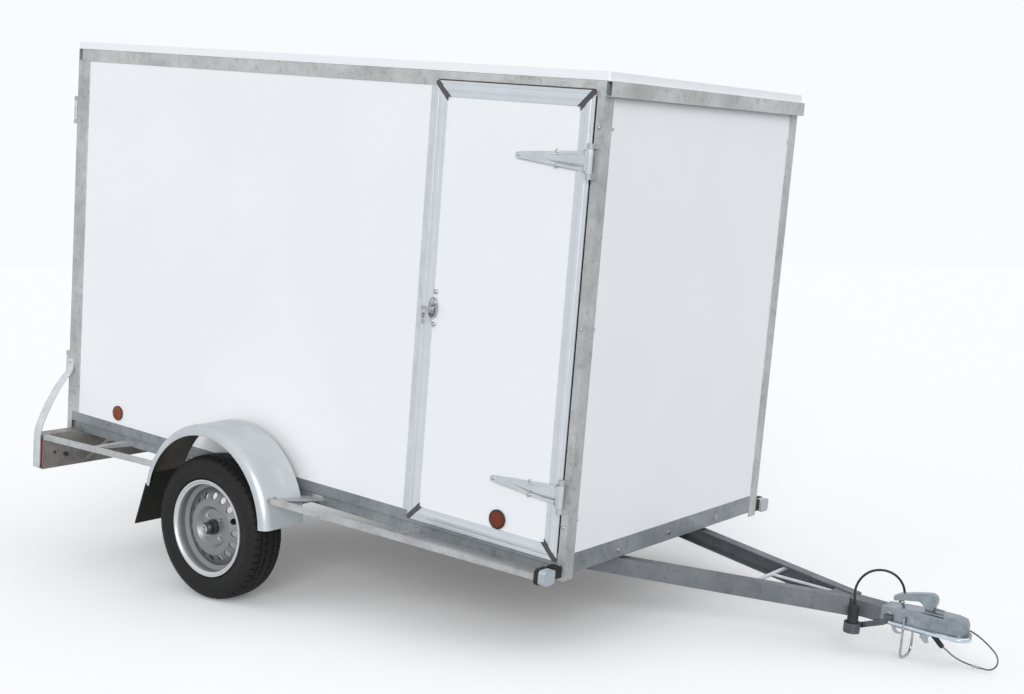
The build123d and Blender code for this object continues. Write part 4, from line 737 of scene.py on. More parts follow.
class Workpiece:
    """One piece under work in edit mode, shaped by operators on what is picked by its place.

    Places are on the level trailer, in metres, until done() leans the piece with the parked trailer.
    """

    def __init__(self, name: str) -> None:
        """Takes the primitive just added.

        Args:
            name: The piece's name.
        """
        self.piece = bpy.context.object
        self.piece.name = name
        bpy.ops.object.transform_apply(location=True, rotation=True, scale=True)
        bpy.ops.object.mode_set(mode="EDIT")
        bpy.ops.mesh.select_mode(type="VERT")
        bpy.ops.mesh.select_all(action="SELECT")

    @classmethod
    def block(cls, name: str, low: Sequence[float], high: Sequence[float]) -> Workpiece:
        """Starts from a block between two corners.

        Args:
            name: The piece's name.
            low: The block's lowest corner.
            high: Its highest corner.

        Returns:
            The workpiece, in edit mode.
        """
        deselect()
        centre = [(one + two) / 2 for one, two in zip(low, high)]
        size = [two - one for one, two in zip(low, high)]
        bpy.ops.mesh.primitive_cube_add(size=1.0, location=centre, scale=size)
        return cls(name)

    @classmethod
    def disc(cls, name: str, centre: Sequence[float], radius: float, depth: float, along: str = "Z",
             sides: int = 24) -> Workpiece:
        """Starts from a disc or rod whose middle is at the centre.

        Args:
            name: The piece's name.
            centre: Its middle.
            radius: Its radius.
            depth: Its length along the axis.
            along: The axis: X, Y or Z.
            sides: How many sides stand for the circle.

        Returns:
            The workpiece, in edit mode.
        """
        deselect()
        turn = {"X": (0.0, math.pi / 2, 0.0), "Y": (math.pi / 2, 0.0, 0.0), "Z": (0.0, 0.0, 0.0)}[along]
        bpy.ops.mesh.primitive_cylinder_add(
            vertices=sides, radius=radius, depth=depth, location=centre, rotation=turn)
        return cls(name)

    @classmethod
    def outline(cls, name: str, points: Sequence[Sequence[float]], filled: bool = True) -> Workpiece:
        """Starts from an outline drawn by extruding one corner from point to point.

        Args:
            name: The piece's name.
            points: The outline's corners in order.
            filled: Whether a face closes the outline.

        Returns:
            The workpiece, in edit mode.
        """
        deselect()
        bpy.ops.mesh.primitive_plane_add(size=0.001, location=points[0])
        made = cls(name)
        bpy.ops.mesh.merge(type="CENTER")
        for before, after in zip(points, points[1:]):
            step = [two - one for one, two in zip(before, after)]
            bpy.ops.mesh.extrude_vertices_move(TRANSFORM_OT_translate={"value": step})
        made.all_of_it()
        if filled:
            bpy.ops.mesh.edge_face_add()
        return made

    def pick(self, test: Test, kind: str = "FACE") -> Workpiece:
        """Selects the faces, edges or corners whose middle and normal pass a test.

        Args:
            test: Takes the middle and the normal, or the direction of an edge.
            kind: FACE, EDGE or VERT.

        Returns:
            The workpiece, so that the next operation can follow.
        """
        bpy.ops.mesh.select_mode(type=kind)
        bpy.ops.mesh.select_all(action="DESELECT")
        mesh = bmesh.from_edit_mesh(self.piece.data)
        mesh.normal_update()
        if kind == "FACE":
            chosen = [face for face in mesh.faces if test(face.calc_center_median(), face.normal)]
        elif kind == "EDGE":
            chosen = [edge for edge in mesh.edges
                      if test((edge.verts[0].co + edge.verts[1].co) / 2,
                              (edge.verts[1].co - edge.verts[0].co).normalized())]
        else:
            chosen = [corner for corner in mesh.verts if test(corner.co, corner.normal)]
        for item in chosen:
            item.select_set(True)
        mesh.select_flush_mode()
        bmesh.update_edit_mesh(self.piece.data)
        return self

    def faces(self, towards: Point) -> Workpiece:
        """Selects the faces that look one way."""
        return self.pick(lambda place, way: way.dot(Vector(towards)) > FACING)

    def ends(self, axis: Point) -> Workpiece:
        """Selects the faces at both ends of an axis."""
        return self.pick(lambda place, way: abs(way.dot(Vector(axis))) > FACING)

    def everything(self) -> Workpiece:
        """Selects the whole piece by its faces."""
        return self.pick(lambda place, way: True)

    def all_of_it(self) -> Workpiece:
        """Selects the whole piece, loose edges too, in the select mode as it is."""
        bpy.ops.mesh.select_all(action="SELECT")
        return self

    def cut_up(self, cuts: int) -> Workpiece:
        """Subdivides the whole piece.

        Args:
            cuts: How many cuts every edge gets.

        Returns:
            The workpiece, so that the next operation can follow.
        """
        self.all_of_it()
        bpy.ops.mesh.subdivide(number_cuts=cuts)
        return self

    def extrude(self, step: Sequence[float]) -> Workpiece:
        """Extrudes the picked region along a step."""
        bpy.ops.mesh.extrude_region_move(TRANSFORM_OT_translate={"value": tuple(step)})
        return self

    def sink(self, depth: float) -> Workpiece:
        """Extrudes the picked region along its normals: outwards, or inwards where negative."""
        bpy.ops.mesh.extrude_region_shrink_fatten(TRANSFORM_OT_shrink_fatten={"value": depth})
        return self

    def inset(self, width: float, depth: float = 0.0) -> Workpiece:
        """Insets the picked faces, and raises the middle by the depth."""
        bpy.ops.mesh.inset(thickness=width, depth=depth)
        return self

    def bevel(self, width: float, segments: int = 2) -> Workpiece:
        """Rounds the picked edges."""
        bpy.ops.mesh.bevel(offset=width, segments=segments, affect="EDGES")
        return self

    def move(self, step: Sequence[float]) -> Workpiece:
        """Moves what is picked."""
        bpy.ops.transform.translate(value=tuple(step))
        return self

    def scale(self, factors: Sequence[float], centre: Sequence[float]) -> Workpiece:
        """Scales what is picked about a centre."""
        bpy.ops.transform.resize(value=tuple(factors), center_override=tuple(centre))
        return self

    def spin(self, centre: Sequence[float], axis: Sequence[float], turn: float, steps: int) -> Workpiece:
        """Spins everything about an axis and closes the seam.

        Args:
            centre: A point on the axis.
            axis: Its direction.
            turn: The whole turn, in radians.
            steps: How many steps it takes.

        Returns:
            The workpiece, so that the next operation can follow.
        """
        self.all_of_it()
        bpy.ops.mesh.spin(steps=steps, angle=turn, center=tuple(centre), axis=tuple(axis))
        return self.tidy()

    def tidy(self) -> Workpiece:
        """Merges doubles and turns the faces outwards.

        Returns:
            The workpiece, so that the next operation can follow.
        """
        self.all_of_it()
        bpy.ops.mesh.remove_doubles(threshold=MERGE_WITHIN)
        bpy.ops.mesh.normals_make_consistent(inside=False)
        return self

    def modified(self, kind: str, **settings: object) -> Workpiece:
        """Adds a modifier with its settings, applies it and goes back to edit mode.

        Args:
            kind: The modifier's type.
            **settings: Its properties, by name.

        Returns:
            The workpiece, so that the next operation can follow.
        """
        take_up(self.piece)
        bpy.ops.object.modifier_add(type=kind)
        modifier = self.piece.modifiers[-1]
        for name, value in settings.items():
            setattr(modifier, name, value)
        bpy.ops.object.modifier_apply(modifier=modifier.name)
        bpy.ops.object.mode_set(mode="EDIT")
        return self

    def wall(self, thickness: float) -> Workpiece:
        """Gives a sheet its thickness on both sides."""
        return self.modified("SOLIDIFY", thickness=thickness, offset=0.0)

    def soften(self, width: float, segments: int = 2, angle_deg: float = 32.0) -> Workpiece:
        """Rounds every sharp edge with an applied bevel."""
        return self.modified("BEVEL", width=width, segments=segments, limit_method="ANGLE",
                             angle_limit=math.radians(angle_deg))

    def shape(self) -> bpy.types.Object:
        """Ends the edit and returns the plain object, still on the level trailer.

        Returns:
            The object.
        """
        take_up(self.piece)
        bpy.ops.object.mode_set(mode="EDIT")
        self.tidy()
        deselect()
        return self.piece


def joined(name: str, shapes: Sequence[bpy.types.Object]) -> bpy.types.Object:
    """Joins finished shapes into one piece.

    Args:
        name: The piece's name.
        shapes: What is joined.

    Returns:
        The piece.
    """
    deselect()
    for shape in shapes:
        shape.select_set(True)
    bpy.context.view_layer.objects.active = shapes[0]
    bpy.ops.object.join()
    piece = bpy.context.object
    piece.name = name
    return piece


def copies(shape: bpy.types.Object, places: Iterable[Matrix]) -> list[bpy.types.Object]:
    """Copies a shape, each copy with its own mesh, and removes the first one.

    Args:
        shape: What is copied.
        places: Where the copies go.

    Returns:
        The copies.
    """
    made = []
    for place in places:
        made.append(own_copy(shape))
        set_down(made[-1], place)
    bpy.data.objects.remove(shape)
    return made


def mirrored(shape: bpy.types.Object) -> bpy.types.Object:
    """A copy of a shape on the trailer's other side, with its faces outwards.

    Args:
        shape: What is mirrored.

    Returns:
        The copy.
    """
    copy = own_copy(shape)
    set_down(copy, Matrix.Scale(-1.0, 4, Vector(LEFTWARD)))
    bpy.ops.object.mode_set(mode="EDIT")
    bpy.ops.mesh.select_all(action="SELECT")
    bpy.ops.mesh.normals_make_consistent(inside=False)
    deselect()
    return copy


def done(piece: bpy.types.Object, finish: Finish, body: Body, stands_for: Sequence[str] = (),
         crease_deg: float = 34.0) -> bpy.types.Object:
    """Leans a piece with the parked trailer, dresses it and puts it on its body.

    Args:
        piece: The shape, on the level trailer.
        finish: Its finish.
        body: The moving body that carries it.
        stands_for: The CAD nodes that it replaces.
        crease_deg: Edges sharper than this stay sharp.

    Returns:
        The finished piece.
    """
    set_down(piece, STANCE.matrix())
    bpy.ops.object.shade_smooth_by_angle(angle=math.radians(crease_deg))
    piece.data.materials.clear()
    piece.data.materials.append(finish.material())
    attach(piece, body.value)
    if stands_for:
        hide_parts(*stands_for)
    log.info("piece %s made", piece.name)
    return piece


def facing(place: Sequence[float], way: Sequence[float]) -> Matrix:
    """Puts something made along +Z at a place in millimetres, facing a way."""
    turn = Vector(UPWARD).rotation_difference(Vector(way).normalized()).to_matrix().to_4x4()
    return Matrix.Translation(level(*place)) @ turn


class Head(Enum):
    """Kinds of fastening, as head radius in millimetres: three domed rivets and three hexagon bolts."""

    DOME = 8.0
    RIVET = 6.5
    SMALL_RIVET = 4.2
    BOLT = 7.5
    SMALL_BOLT = 5.6
    WHEEL = 9.0


@dataclass
class Fastenings:
    """Rows of rivets and bolts of one body: each is a kind, a place and the way it faces."""

    name: str
    body: Body
    places: Sequence[tuple[Head, Point, Point]]
    finish: Finish

    def rivet(self, radius: float) -> bpy.types.Object:
        """A domed head on a thin flange.

        Args:
            radius: The flange's radius, in metres.

        Returns:
            The rivet, facing upwards.
        """
        work = Workpiece.disc("rivet", (0.0, 0.0, 0.12 * radius), radius, 0.24 * radius, sides=18)
        work.faces(UPWARD)
        work.inset(0.16 * radius).inset(0.10 * radius, 0.22 * radius).inset(0.25 * radius, 0.16 * radius)
        work.inset(0.22 * radius, 0.06 * radius)
        return work.shape()

    def bolt(self, radius: float) -> bpy.types.Object:
        """A hexagon head on a washer, with its chamfered top.

        Args:
            radius: The hexagon's radius, in metres.

        Returns:
            The bolt's head, facing upwards.
        """
        washer = Workpiece.disc("washer", (0.0, 0.0, 0.10 * radius), 1.35 * radius, 0.20 * radius, sides=20)
        washer.faces(UPWARD).inset(0.08 * radius, 0.03 * radius)
        head = Workpiece.disc("head", (0.0, 0.0, 0.42 * radius), radius, 0.55 * radius, sides=6)
        head.faces(UPWARD).inset(0.12 * radius, 0.07 * radius)
        head.inset(0.3 * radius, -0.05 * radius)
        return joined("bolt", [washer.shape(), head.shape()])

    def build(self) -> bpy.types.Object:
        """Makes each kind once, copies it to its places and joins them.

        Returns:
            The finished piece.
        """
        shapes = []
        for kind in Head:
            rows = [facing(place, way) for head, place, way in self.places if head is kind]
            if not rows:
                continue
            draw = self.rivet if kind in (Head.DOME, Head.RIVET, Head.SMALL_RIVET) else self.bolt
            shapes.extend(copies(draw(kind.value * MM), rows))
        return done(joined(self.name, shapes), self.finish, self.body)


@dataclass
class Tyre:
    """A road tyre: a spun section with rim guard, side rings and a cut tread."""

    side: Side
    body: Body
    across: float = 800.0
    blocks: int = 56
    groove: float = 5.5
    faces_a_block: int = 6
    # Grooves round the tyre, as distances from its middle, and the shoulder's inner edge
    grooves: Sequence[tuple[float, float]] = ((14.0, 18.0), (38.5, 42.5))
    shoulder: float = 46.0
    sipe_end: float = 27.0
    # Which face of each block is cut, on the left half and on the right half
    shoulder_cut: tuple[int, int] = (0, 3)
    sipe_cut: tuple[int, int] = (2, 5)
    tread_from: float = 259.0
    # Half the section from the bead to the tread's middle: out from the centre, and radius, in millimetres
    section: Sequence[tuple[float, float]] = (
        (0.0, 171.6), (57.0, 171.6), (58.2, 180.5), (63.5, 185.5), (68.0, 188.0), (70.6, 190.0),
        (72.0, 194.0), (71.6, 197.0), (73.6, 205.0), (76.0, 214.0), (77.1, 222.0), (77.3, 226.0),
        (76.4, 227.6), (76.6, 232.0), (75.6, 240.0), (74.6, 241.5), (73.4, 246.0), (71.0, 251.5),
        (68.6, 256.0), (65.6, 260.0), (61.5, 263.6), (57.0, 266.0), (46.0, 269.4), (42.5, 270.2),
        (38.5, 270.8), (27.0, 271.9), (18.0, 272.4), (14.0, 272.6), (5.0, 272.9), (0.0, 272.9),
    )

    def grooved(self, out: float, radius: float, turn: int, half: int) -> bool:
        """Whether a face of the tread lies in a groove.

        Args:
            out: Its distance from the tyre's middle.
            radius: Its distance from the axle.
            turn: Its number within its block.
            half: 0 on the tyre's left half and 1 on its right half.

        Returns:
            True for a face that is sunk.
        """
        if radius < self.tread_from:
            return False
        if any(low < out < high for low, high in self.grooves):
            return True
        if out > self.shoulder:
            return turn == self.shoulder_cut[half]
        return self.grooves[0][1] < out < self.sipe_end and turn == self.sipe_cut[half]

    def build(self) -> bpy.types.Object:
        """Spins the section and sinks the tread's grooves.

        Returns:
            The finished tyre.
        """
        middle = self.side.value * self.across
        ring = [*self.section[1:-1], *((-out, radius) for out, radius in reversed(self.section[1:-1]))]
        points = [level(0.0, middle + out, radius) for out, radius in ring]
        work = Workpiece.outline("tyre", points + points[:1], filled=False)
        steps = self.blocks * self.faces_a_block
        work.spin(level(0.0, middle, 0.0), LEFTWARD, math.tau, steps)

        def sunk(place: Vector, way: Vector) -> bool:
            """Whether the face at a place is in a groove.

            Args:
                place: The face's middle.
                way: Its normal, which plays no part.

            Returns:
                True for a face that is sunk.
            """
            turn = math.floor(math.atan2(place.z, place.x) / math.tau * steps) % self.faces_a_block
            radius = math.hypot(place.x, place.z) / MM
            out = place.y / MM - middle
            return self.grooved(abs(out), radius, turn, 0 if out > 0.0 else 1)

        work.pick(sunk).sink(-self.groove * MM)
        piece = work.shape()
        piece.name = "tyre_tread_" + self.side.word
        return done(piece, TYRE_RUBBER, self.body, ["tyre_" + self.side.word], 28.0)


@dataclass
class StrapHinge:
    """A pressed strap hinge: long tapered leaf with a raised rib, rolled round its barrel.

    It is drawn once from its pin's line: X runs along the leaf, Y outwards from the door and Z up.
    """

    name: str
    leaf: float = 3.0
    tip: float = 286.0
    tip_half: float = 11.0
    root: float = 13.0
    root_half: float = 32.0
    rib_tip: float = 208.0
    rib_half: float = 20.0
    rib_high: float = 10.0
    rib_sunk: float = 0.3
    waist: tuple[float, float] = (94.0, 27.0)
    rib_waist: tuple[float, float] = (146.0, 12.0)
    rib_full: float = 74.0
    # How far the rib's top is drawn back and down, and what is left of its height and width
    point_back: float = 14.0
    point_high: float = 1.2
    waist_back: float = 6.0
    waist_drop: float = 3.5
    waist_share: float = 0.5
    root_share: float = 0.42
    pin_out: float = 12.0
    barrel_half: float = 39.0
    barrel_r: float = 10.5

    def strap(self) -> bpy.types.Object:
        """The leaf with its round tip, drawn flat and given its thickness.

        Returns:
            The leaf, in the hinge's own frame.
        """
        rim = []
        for step in range(9):
            turn = math.radians(-90 + 22.5 * step)
            rim.append((self.tip + self.tip_half * math.cos(turn), self.tip_half * math.sin(turn)))
        along, half = self.waist
        rim += [(along, half), (self.root, self.root_half), (self.root, -self.root_half), (along, -half)]
        work = Workpiece.outline(self.name, [level(along, 0.0, up) for along, up in rim])
        work.everything().extrude((0.0, self.leaf * MM, 0.0)).tidy().soften(0.0008)
        return work.shape()

    def rib(self) -> bpy.types.Object:
        """The raised rib, which widens and rises from its point towards the barrel.

        Returns:
            The rib, in the hinge's own frame.
        """
        end = self.root - 4
        side = [self.rib_waist, (self.rib_full, self.rib_half), (end, self.rib_half)]
        foot = [(self.rib_tip, 0.0), *side, *((along, -half) for along, half in reversed(side))]
        base = self.leaf - self.rib_sunk
        work = Workpiece.outline(self.name, [level(along, base, up) for along, up in foot])
        work.everything().extrude((0.0, self.rib_high * MM, 0.0))
        top = (base + 1.0) * MM
        work.pick(lambda place, way: place.x > 0.2 and place.y > top, "VERT")
        work.move(level(-self.point_back, self.point_high - self.rib_high, 0.0))
        work.pick(lambda place, way: 0.14 < place.x < 0.16 and place.y > top, "VERT")
        work.move(level(-self.waist_back, -self.waist_drop, 0.0))
        work.scale((1.0, 1.0, self.waist_share), (0.0, 0.0, 0.0))
        work.pick(lambda place, way: place.x < 0.08 and place.y > top, "VERT")
        work.scale((1.0, 1.0, self.root_share), (0.0, 0.0, 0.0))
        work.tidy().soften(0.0012, 2, 30.0)
        return work.shape()

    def barrel(self) -> bpy.types.Object:
        """The leaf's root rolled round the pin, with a web back to the strap.

        Returns:
            The barrel, in the hinge's own frame.
        """
        roll = Workpiece.disc(self.name, level(0.0, self.pin_out, 0.0), self.barrel_r * MM,
                              2 * self.barrel_half * MM, sides=28)
        roll.ends(UPWARD).inset(0.0035).sink(-0.004)
        web = Workpiece.block(self.name, level(2.0, 0.0, -self.root_half),
                              level(self.root + 8, 19.0, self.root_half))
        web.pick(lambda place, way: place.x > self.root * MM and abs(way.z) > 0.5 and place.y > 0.01, "EDGE")
        web.bevel(0.009, 3).tidy().soften(0.001)
        return joined(self.name, [roll.shape(), web.shape()])

    def build(self, body: Body, places: Sequence[Matrix], finish: Finish, node: str) -> bpy.types.Object:
        """Draws one hinge and copies it to each of a door's places.

        Args:
            body: The door's body.
            places: Where the hinges' pin lines meet the door's face, and how they are turned.
            finish: Their finish.
            node: The CAD node that they stand for.

        Returns:
            The door's hinges as one piece.
        """
        one = joined(self.name, [self.strap(), self.rib(), self.barrel()])
        return done(joined(self.name, copies(one, places)), finish, body, [node])


def hinge_places(x: float, y: float, along: Point, out: Point) -> list[Matrix]:
    """Where a door's two hinges sit, from the pin line's foot on the face and two directions.

    Args:
        x: The pin line's place forward.
        y: Its place to the left.
        along: The way the leaf runs.
        out: The way out of the door.

    Returns:
        One place for each hinge.
    """
    first, second = Vector(along), Vector(out)
    turn = Matrix((first, second, first.cross(second))).transposed().to_4x4()
    return [Matrix.Translation(level(x, y, z)) @ turn for z in HINGE_HEIGHTS]


@dataclass
class DoorLock:
    """The side door's turning lock: oval plate, cylinder, handle and two hanging keys."""

    x: float = 848.0
    z: float = 941.0
    face_y: float = DOOR_FACE_Y
    plate_half: tuple[float, float] = (19.5, 36.5)
    rise: float = 5.0
    handle_back: float = -677.0
    handle_front: float = -687.5
    grip_y: float = -683.0
    neck_y: float = -681.0
    key_y: float = -681.5
    barrel_r: float = 11.5
    neck_r: float = 7.5
    bow_r: float = 8.5
    # The keys' ring: how far behind the lock it hangs, and its radii
    hang_back: float = 22.0
    ring_r: float = 9.0
    wire_r: float = 0.9

    def plate(self) -> bpy.types.Object:
        """The oval plate with a stepped rim and its cylinder.

        Returns:
            The plain object, on the level trailer.
        """
        wide, tall = self.plate_half
        work = Workpiece.disc("lock_plate", level(self.x, self.face_y - self.rise / 2, self.z), wide * MM,
                              self.rise * MM, "Y", 40)
        work.everything().scale((1.0, 1.0, tall / wide), level(self.x, self.face_y, self.z))
        work.faces(RIGHTWARD).inset(0.0025, 0.0015).inset(0.004, -0.0012)
        barrel = Workpiece.disc("lock_barrel", level(self.x, self.face_y - 12, self.z),
                                self.barrel_r * MM, 0.015, "Y", 32)
        barrel.faces(RIGHTWARD).inset(0.0015, 0.001).inset(0.0035).sink(-0.002)
        return joined("lock_plate", [work.shape(), barrel.shape()])

    def handle(self) -> bpy.types.Object:
        """The T handle, slimmer at its waist and rounded at its ends.

        Returns:
            The plain object, on the level trailer.
        """
        work = Workpiece.block("lock_handle", level(self.x - 30, self.handle_front, self.z - 7),
                               level(self.x + 22, self.handle_back, self.z + 7))
        work.cut_up(2)
        work.pick(lambda place, way: self.x - 22 < place.x / MM < self.x + 16, "VERT")
        work.scale((1.0, 0.72, 0.62), level(self.x, self.grip_y, self.z))
        work.tidy().soften(0.0022, 3, 25.0)
        neck = Workpiece.disc("lock_neck", level(self.x, self.neck_y, self.z), self.neck_r * MM, 0.006,
                              "Y", 24)
        neck.faces(RIGHTWARD).inset(0.001, 0.0008)
        return joined("lock_handle", [work.shape(), neck.shape()])

    def key(self, lean: float, drop: float) -> bpy.types.Object:
        """One key hanging from the ring: a pierced bow and a notched blade.

        Args:
            lean: How far forward it hangs.
            drop: How far below the ring.

        Returns:
            The plain object, on the level trailer.
        """
        x, z = self.x - self.hang_back, self.z - 12
        bow = Workpiece.disc("key", level(x + lean, self.key_y, z - drop), self.bow_r * MM, 0.0018, "Y", 20)
        bow.ends(LEFTWARD).inset(0.0045)
        bpy.ops.mesh.bridge_edge_loops()
        blade = Workpiece.block("key", level(x + lean - 2.6, self.key_y - 0.7, z - drop - 30),
                                level(x + lean + 2.6, self.key_y + 0.7, z - drop - 6))
        blade.cut_up(4)
        blade.pick(lambda place, way: place.x > (x + lean + 1.0) * MM and int(place.z / MM) % 9 < 4, "VERT")
        blade.move((-0.0014, 0.0, 0.0))
        return joined("key", [bow.shape(), blade.shape()])

    def build(self) -> None:
        """Makes the lock and its keys."""
        ring_at = level(self.x - self.hang_back, self.neck_y, self.z - 10)
        deselect()
        bpy.ops.mesh.primitive_torus_add(
            location=ring_at, rotation=(math.pi / 2, 0.0, 0.0), major_radius=self.ring_r * MM,
            minor_radius=self.wire_r * MM, major_segments=28, minor_segments=8)
        ring = Workpiece("key_ring")
        ring.everything().scale((0.9, 1.0, 1.15), ring_at)
        whole = [self.plate(), self.handle(), ring.shape(), self.key(-3.0, 14.0), self.key(4.0, 16.0)]
        done(joined("door_lock", whole), CHROME, Body.SIDE_DOOR, ["side_door_lock"])


@dataclass
class DoorBars:
    """A door's four mitred frame bars of one profile with a lip, a bead and a flat, and the frame behind."""

    name: str
    node: str
    body: Body
    corner: Point
    across: Point
    out: Point
    wide: float
    tall: float = DOOR_TALL
    bar: float = 52.0
    gap: float = 13.0
    frame_in: float = 24.0
    frame_low: float = 7.0
    frame_deep: float = 21.6
    # How far in from the door's edge, and how far below the face, in millimetres
    profile: Sequence[tuple[float, float]] = (
        (0.0, 7.0), (0.0, 2.2), (1.0, 1.2), (11.0, 1.2), (12.0, 2.0), (13.5, 2.0), (15.5, 0.6),
        (18.5, 0.0), (29.0, 0.0), (32.0, 0.6), (34.5, 2.0), (36.0, 2.2), (50.5, 2.6), (52.0, 3.4),
        (52.0, 7.0),
    )

    def bar_along(self, start: Vector, along: Vector, inward: Vector, length: float) -> bpy.types.Object:
        """Draws the profile on its mitre, extrudes it and mitres the far end.

        Args:
            start: The door's corner.
            along: The way the bar runs.
            inward: The way into the door.
            length: The door's length that way.

        Returns:
            The plain object, on the level trailer.
        """
        out = Vector(self.out)
        rows = [start + inward * u + along * (u + self.gap) - out * down for u, down in self.profile]
        work = Workpiece.outline(self.name, [row * MM for row in rows])
        work.everything().extrude(along * length * MM)
        for u, down in self.profile:
            far = (start + inward * u + along * (u + self.gap + length) - out * down) * MM
            work.pick(lambda place, way, far=far: (place - far).length < 0.00005, "VERT")
            work.move(along * (-2 * (u + self.gap)) * MM)
        return work.shape()

    def back_frame(self) -> bpy.types.Object:
        """The deep inner frame behind the bars, inset from the door's outline.

        Returns:
            The plain object, on the level trailer.
        """
        origin, across, out, up = Vector(self.corner), Vector(self.across), Vector(self.out), Vector(UPWARD)
        near, far, top = self.frame_in, self.wide - self.frame_in, self.tall - self.frame_in
        ring = [(near, near), (far, near), (far, top), (near, top)]
        rows = [origin + across * u + up * v - out * self.frame_low for u, v in ring]
        work = Workpiece.outline(self.name, [row * MM for row in rows])
        work.everything().inset((self.bar - self.frame_in) * MM)
        bpy.ops.mesh.delete(type="FACE")
        work.everything().extrude(-out * self.frame_deep * MM)
        return work.shape()

    def build(self, finish: Finish) -> bpy.types.Object:
        """Makes the four bars and the frame behind them.

        Args:
            finish: Their finish.

        Returns:
            The door's bars as one piece.
        """
        origin, across, up = Vector(self.corner), Vector(self.across), Vector(UPWARD)
        shapes = [
            self.bar_along(origin, across, up, self.wide),
            self.bar_along(origin + up * self.tall, across, -up, self.wide),
            self.bar_along(origin, up, across, self.tall),
            self.bar_along(origin + across * self.wide, up, -across, self.tall),
            self.back_frame(),
        ]
        return done(joined(self.name, shapes), finish, self.body, [self.node], 22.0)


@dataclass
class Reflector:
    """A round reflector: a dark rim and a shallow domed lens inside it."""

    name: str
    body: Body
    centre: Point
    out: float
    radius: float
    lens: Finish
    stands_for: Sequence[str] = ()
    rim_deep: float = 5.0
    lens_in: float = 3.3
    lens_deep: float = 4.0

    def build(self) -> None:
        """Turns the rim and the dome from discs."""
        x, y, z = self.centre
        rim = Workpiece.disc(self.name + "_rim", level(x, y + 0.5 * self.out, z), self.radius * MM,
                             self.rim_deep * MM, "Y", 48)
        rim.faces((0.0, self.out, 0.0)).inset(0.0010, 0.0008).inset(0.0018, 0.0002)
        rim.inset(0.0004, -0.0016)
        done(rim.shape(), BLACK_MOULDING, self.body)
        dome = Workpiece.disc(self.name, level(x, y + 1.3 * self.out, z), (self.radius - self.lens_in) * MM,
                              self.lens_deep * MM, "Y", 48)
        dome.faces((0.0, self.out, 0.0)).inset(0.003, 0.0006).inset(0.008, 0.0005)
        dome.inset(0.009, 0.0002)
        done(dome.shape(), self.lens, self.body, self.stands_for)


@dataclass
class BoardStraps:
    """The flat straps that carry the light board, bowed out from the rear posts; their bright tone is a painted
    highlight.
    """

    thick: float = 5.0
    sweep: float = 44.0
    # Out from the middle, height, rear edge and front edge, in millimetres
    path: Sequence[tuple[float, float, float, float]] = (
        (652.5, 441.0, -1147.0, -1121.0), (653.0, 414.0, -1148.0, -1115.0), (662.0, 392.0, -1146.0, -1108.0),
        (697.0, 361.0, -1140.0, -1100.0), (735.0, 324.0, -1133.0, -1091.0), (773.0, 276.0, -1125.0, -1082.0),
        (804.0, 230.0, -1118.0, -1075.0), (825.0, 194.0, -1113.5, -1070.0), (836.0, 165.0, -1112.0, -1068.0),
        (840.5, 140.0, -1112.0, -1068.0), (840.5, 60.0, -1112.0, -1068.0), (840.5, 1.5, -1112.0, -1068.0),
    )

    def strap(self) -> bpy.types.Object:
        """One strap: its rear edge drawn, swept forward to the front edge, and given its thickness.

        Returns:
            The plain object, on the level trailer.
        """
        rows = [level(rear, -out, up) for out, up, rear, _ in self.path]
        work = Workpiece.outline("strap", rows, filled=False)
        work.extrude(level(self.sweep, 0.0, 0.0))
        for out, up, rear, front in self.path:
            far = level(rear + self.sweep, -out, up)
            work.pick(lambda place, way, far=far: (place - far).length < 0.0001, "VERT")
            work.move((front * MM - far.x, 0.0, 0.0))
        work.wall(self.thick * MM).tidy().soften(0.0007)
        return work.shape()

    def build(self) -> None:
        """Makes both straps."""
        right = self.strap()
        pair = joined("board_strap_pair", [right, mirrored(right)])
        done(pair, ZINC_PALE_LIT, Body.TRAILER, ["board_straps"], 28.0)


@dataclass
class FrameTrim:
    """Folded flanges of the rear posts over the panels, and a dark strip above the side door that is a painted
    shadow of the gap under the top rail.
    """

    fold_x: float = -1118.5
    edge_x: float = -1077.0
    out_y: float = -650.6
    in_y: float = -646.5
    low: float = 216.5
    high: float = 1686.5
    gap_low: Point = (800.0, -653.5, 1703.4)
    gap_high: Point = (1434.0, -649.5, 1707.6)

    def flange(self) -> bpy.types.Object:
        """One thin flange with its edge folded to the panel.

        Returns:
            The plain object, on the level trailer.
        """
        work = Workpiece.block("flange", level(self.fold_x - 2, self.out_y, self.low),
                               level(self.edge_x, self.in_y, self.high))
        work.pick(lambda place, way: place.x > (self.edge_x - 1) * MM and place.y < (self.out_y + 0.6) * MM
                  and abs(way.z) > FACING, "EDGE")
        work.bevel(0.0024, 3).tidy()
        return work.shape()

    def seal(self) -> None:
        """A dark strip below the top rail, drawn as a rubber seal: a painted shadow of the gap between the door
        and the rail.
        """
        work = Workpiece.block("door_seal", level(*self.gap_low), level(*self.gap_high))
        front = (self.gap_low[1] + 0.5) * MM
        work.pick(lambda place, way: place.y < front and abs(way.x) > FACING, "EDGE").bevel(0.0014, 3)
        done(work.shape(), SHADOW_STRIP, Body.TRAILER)

    def build(self) -> None:
        """Makes the flanges and the painted gap shadow."""
        right = self.flange()
        done(joined("rear_post_flanges", [right, mirrored(right)]), ZINC_FRAME, Body.TRAILER)
        self.seal()


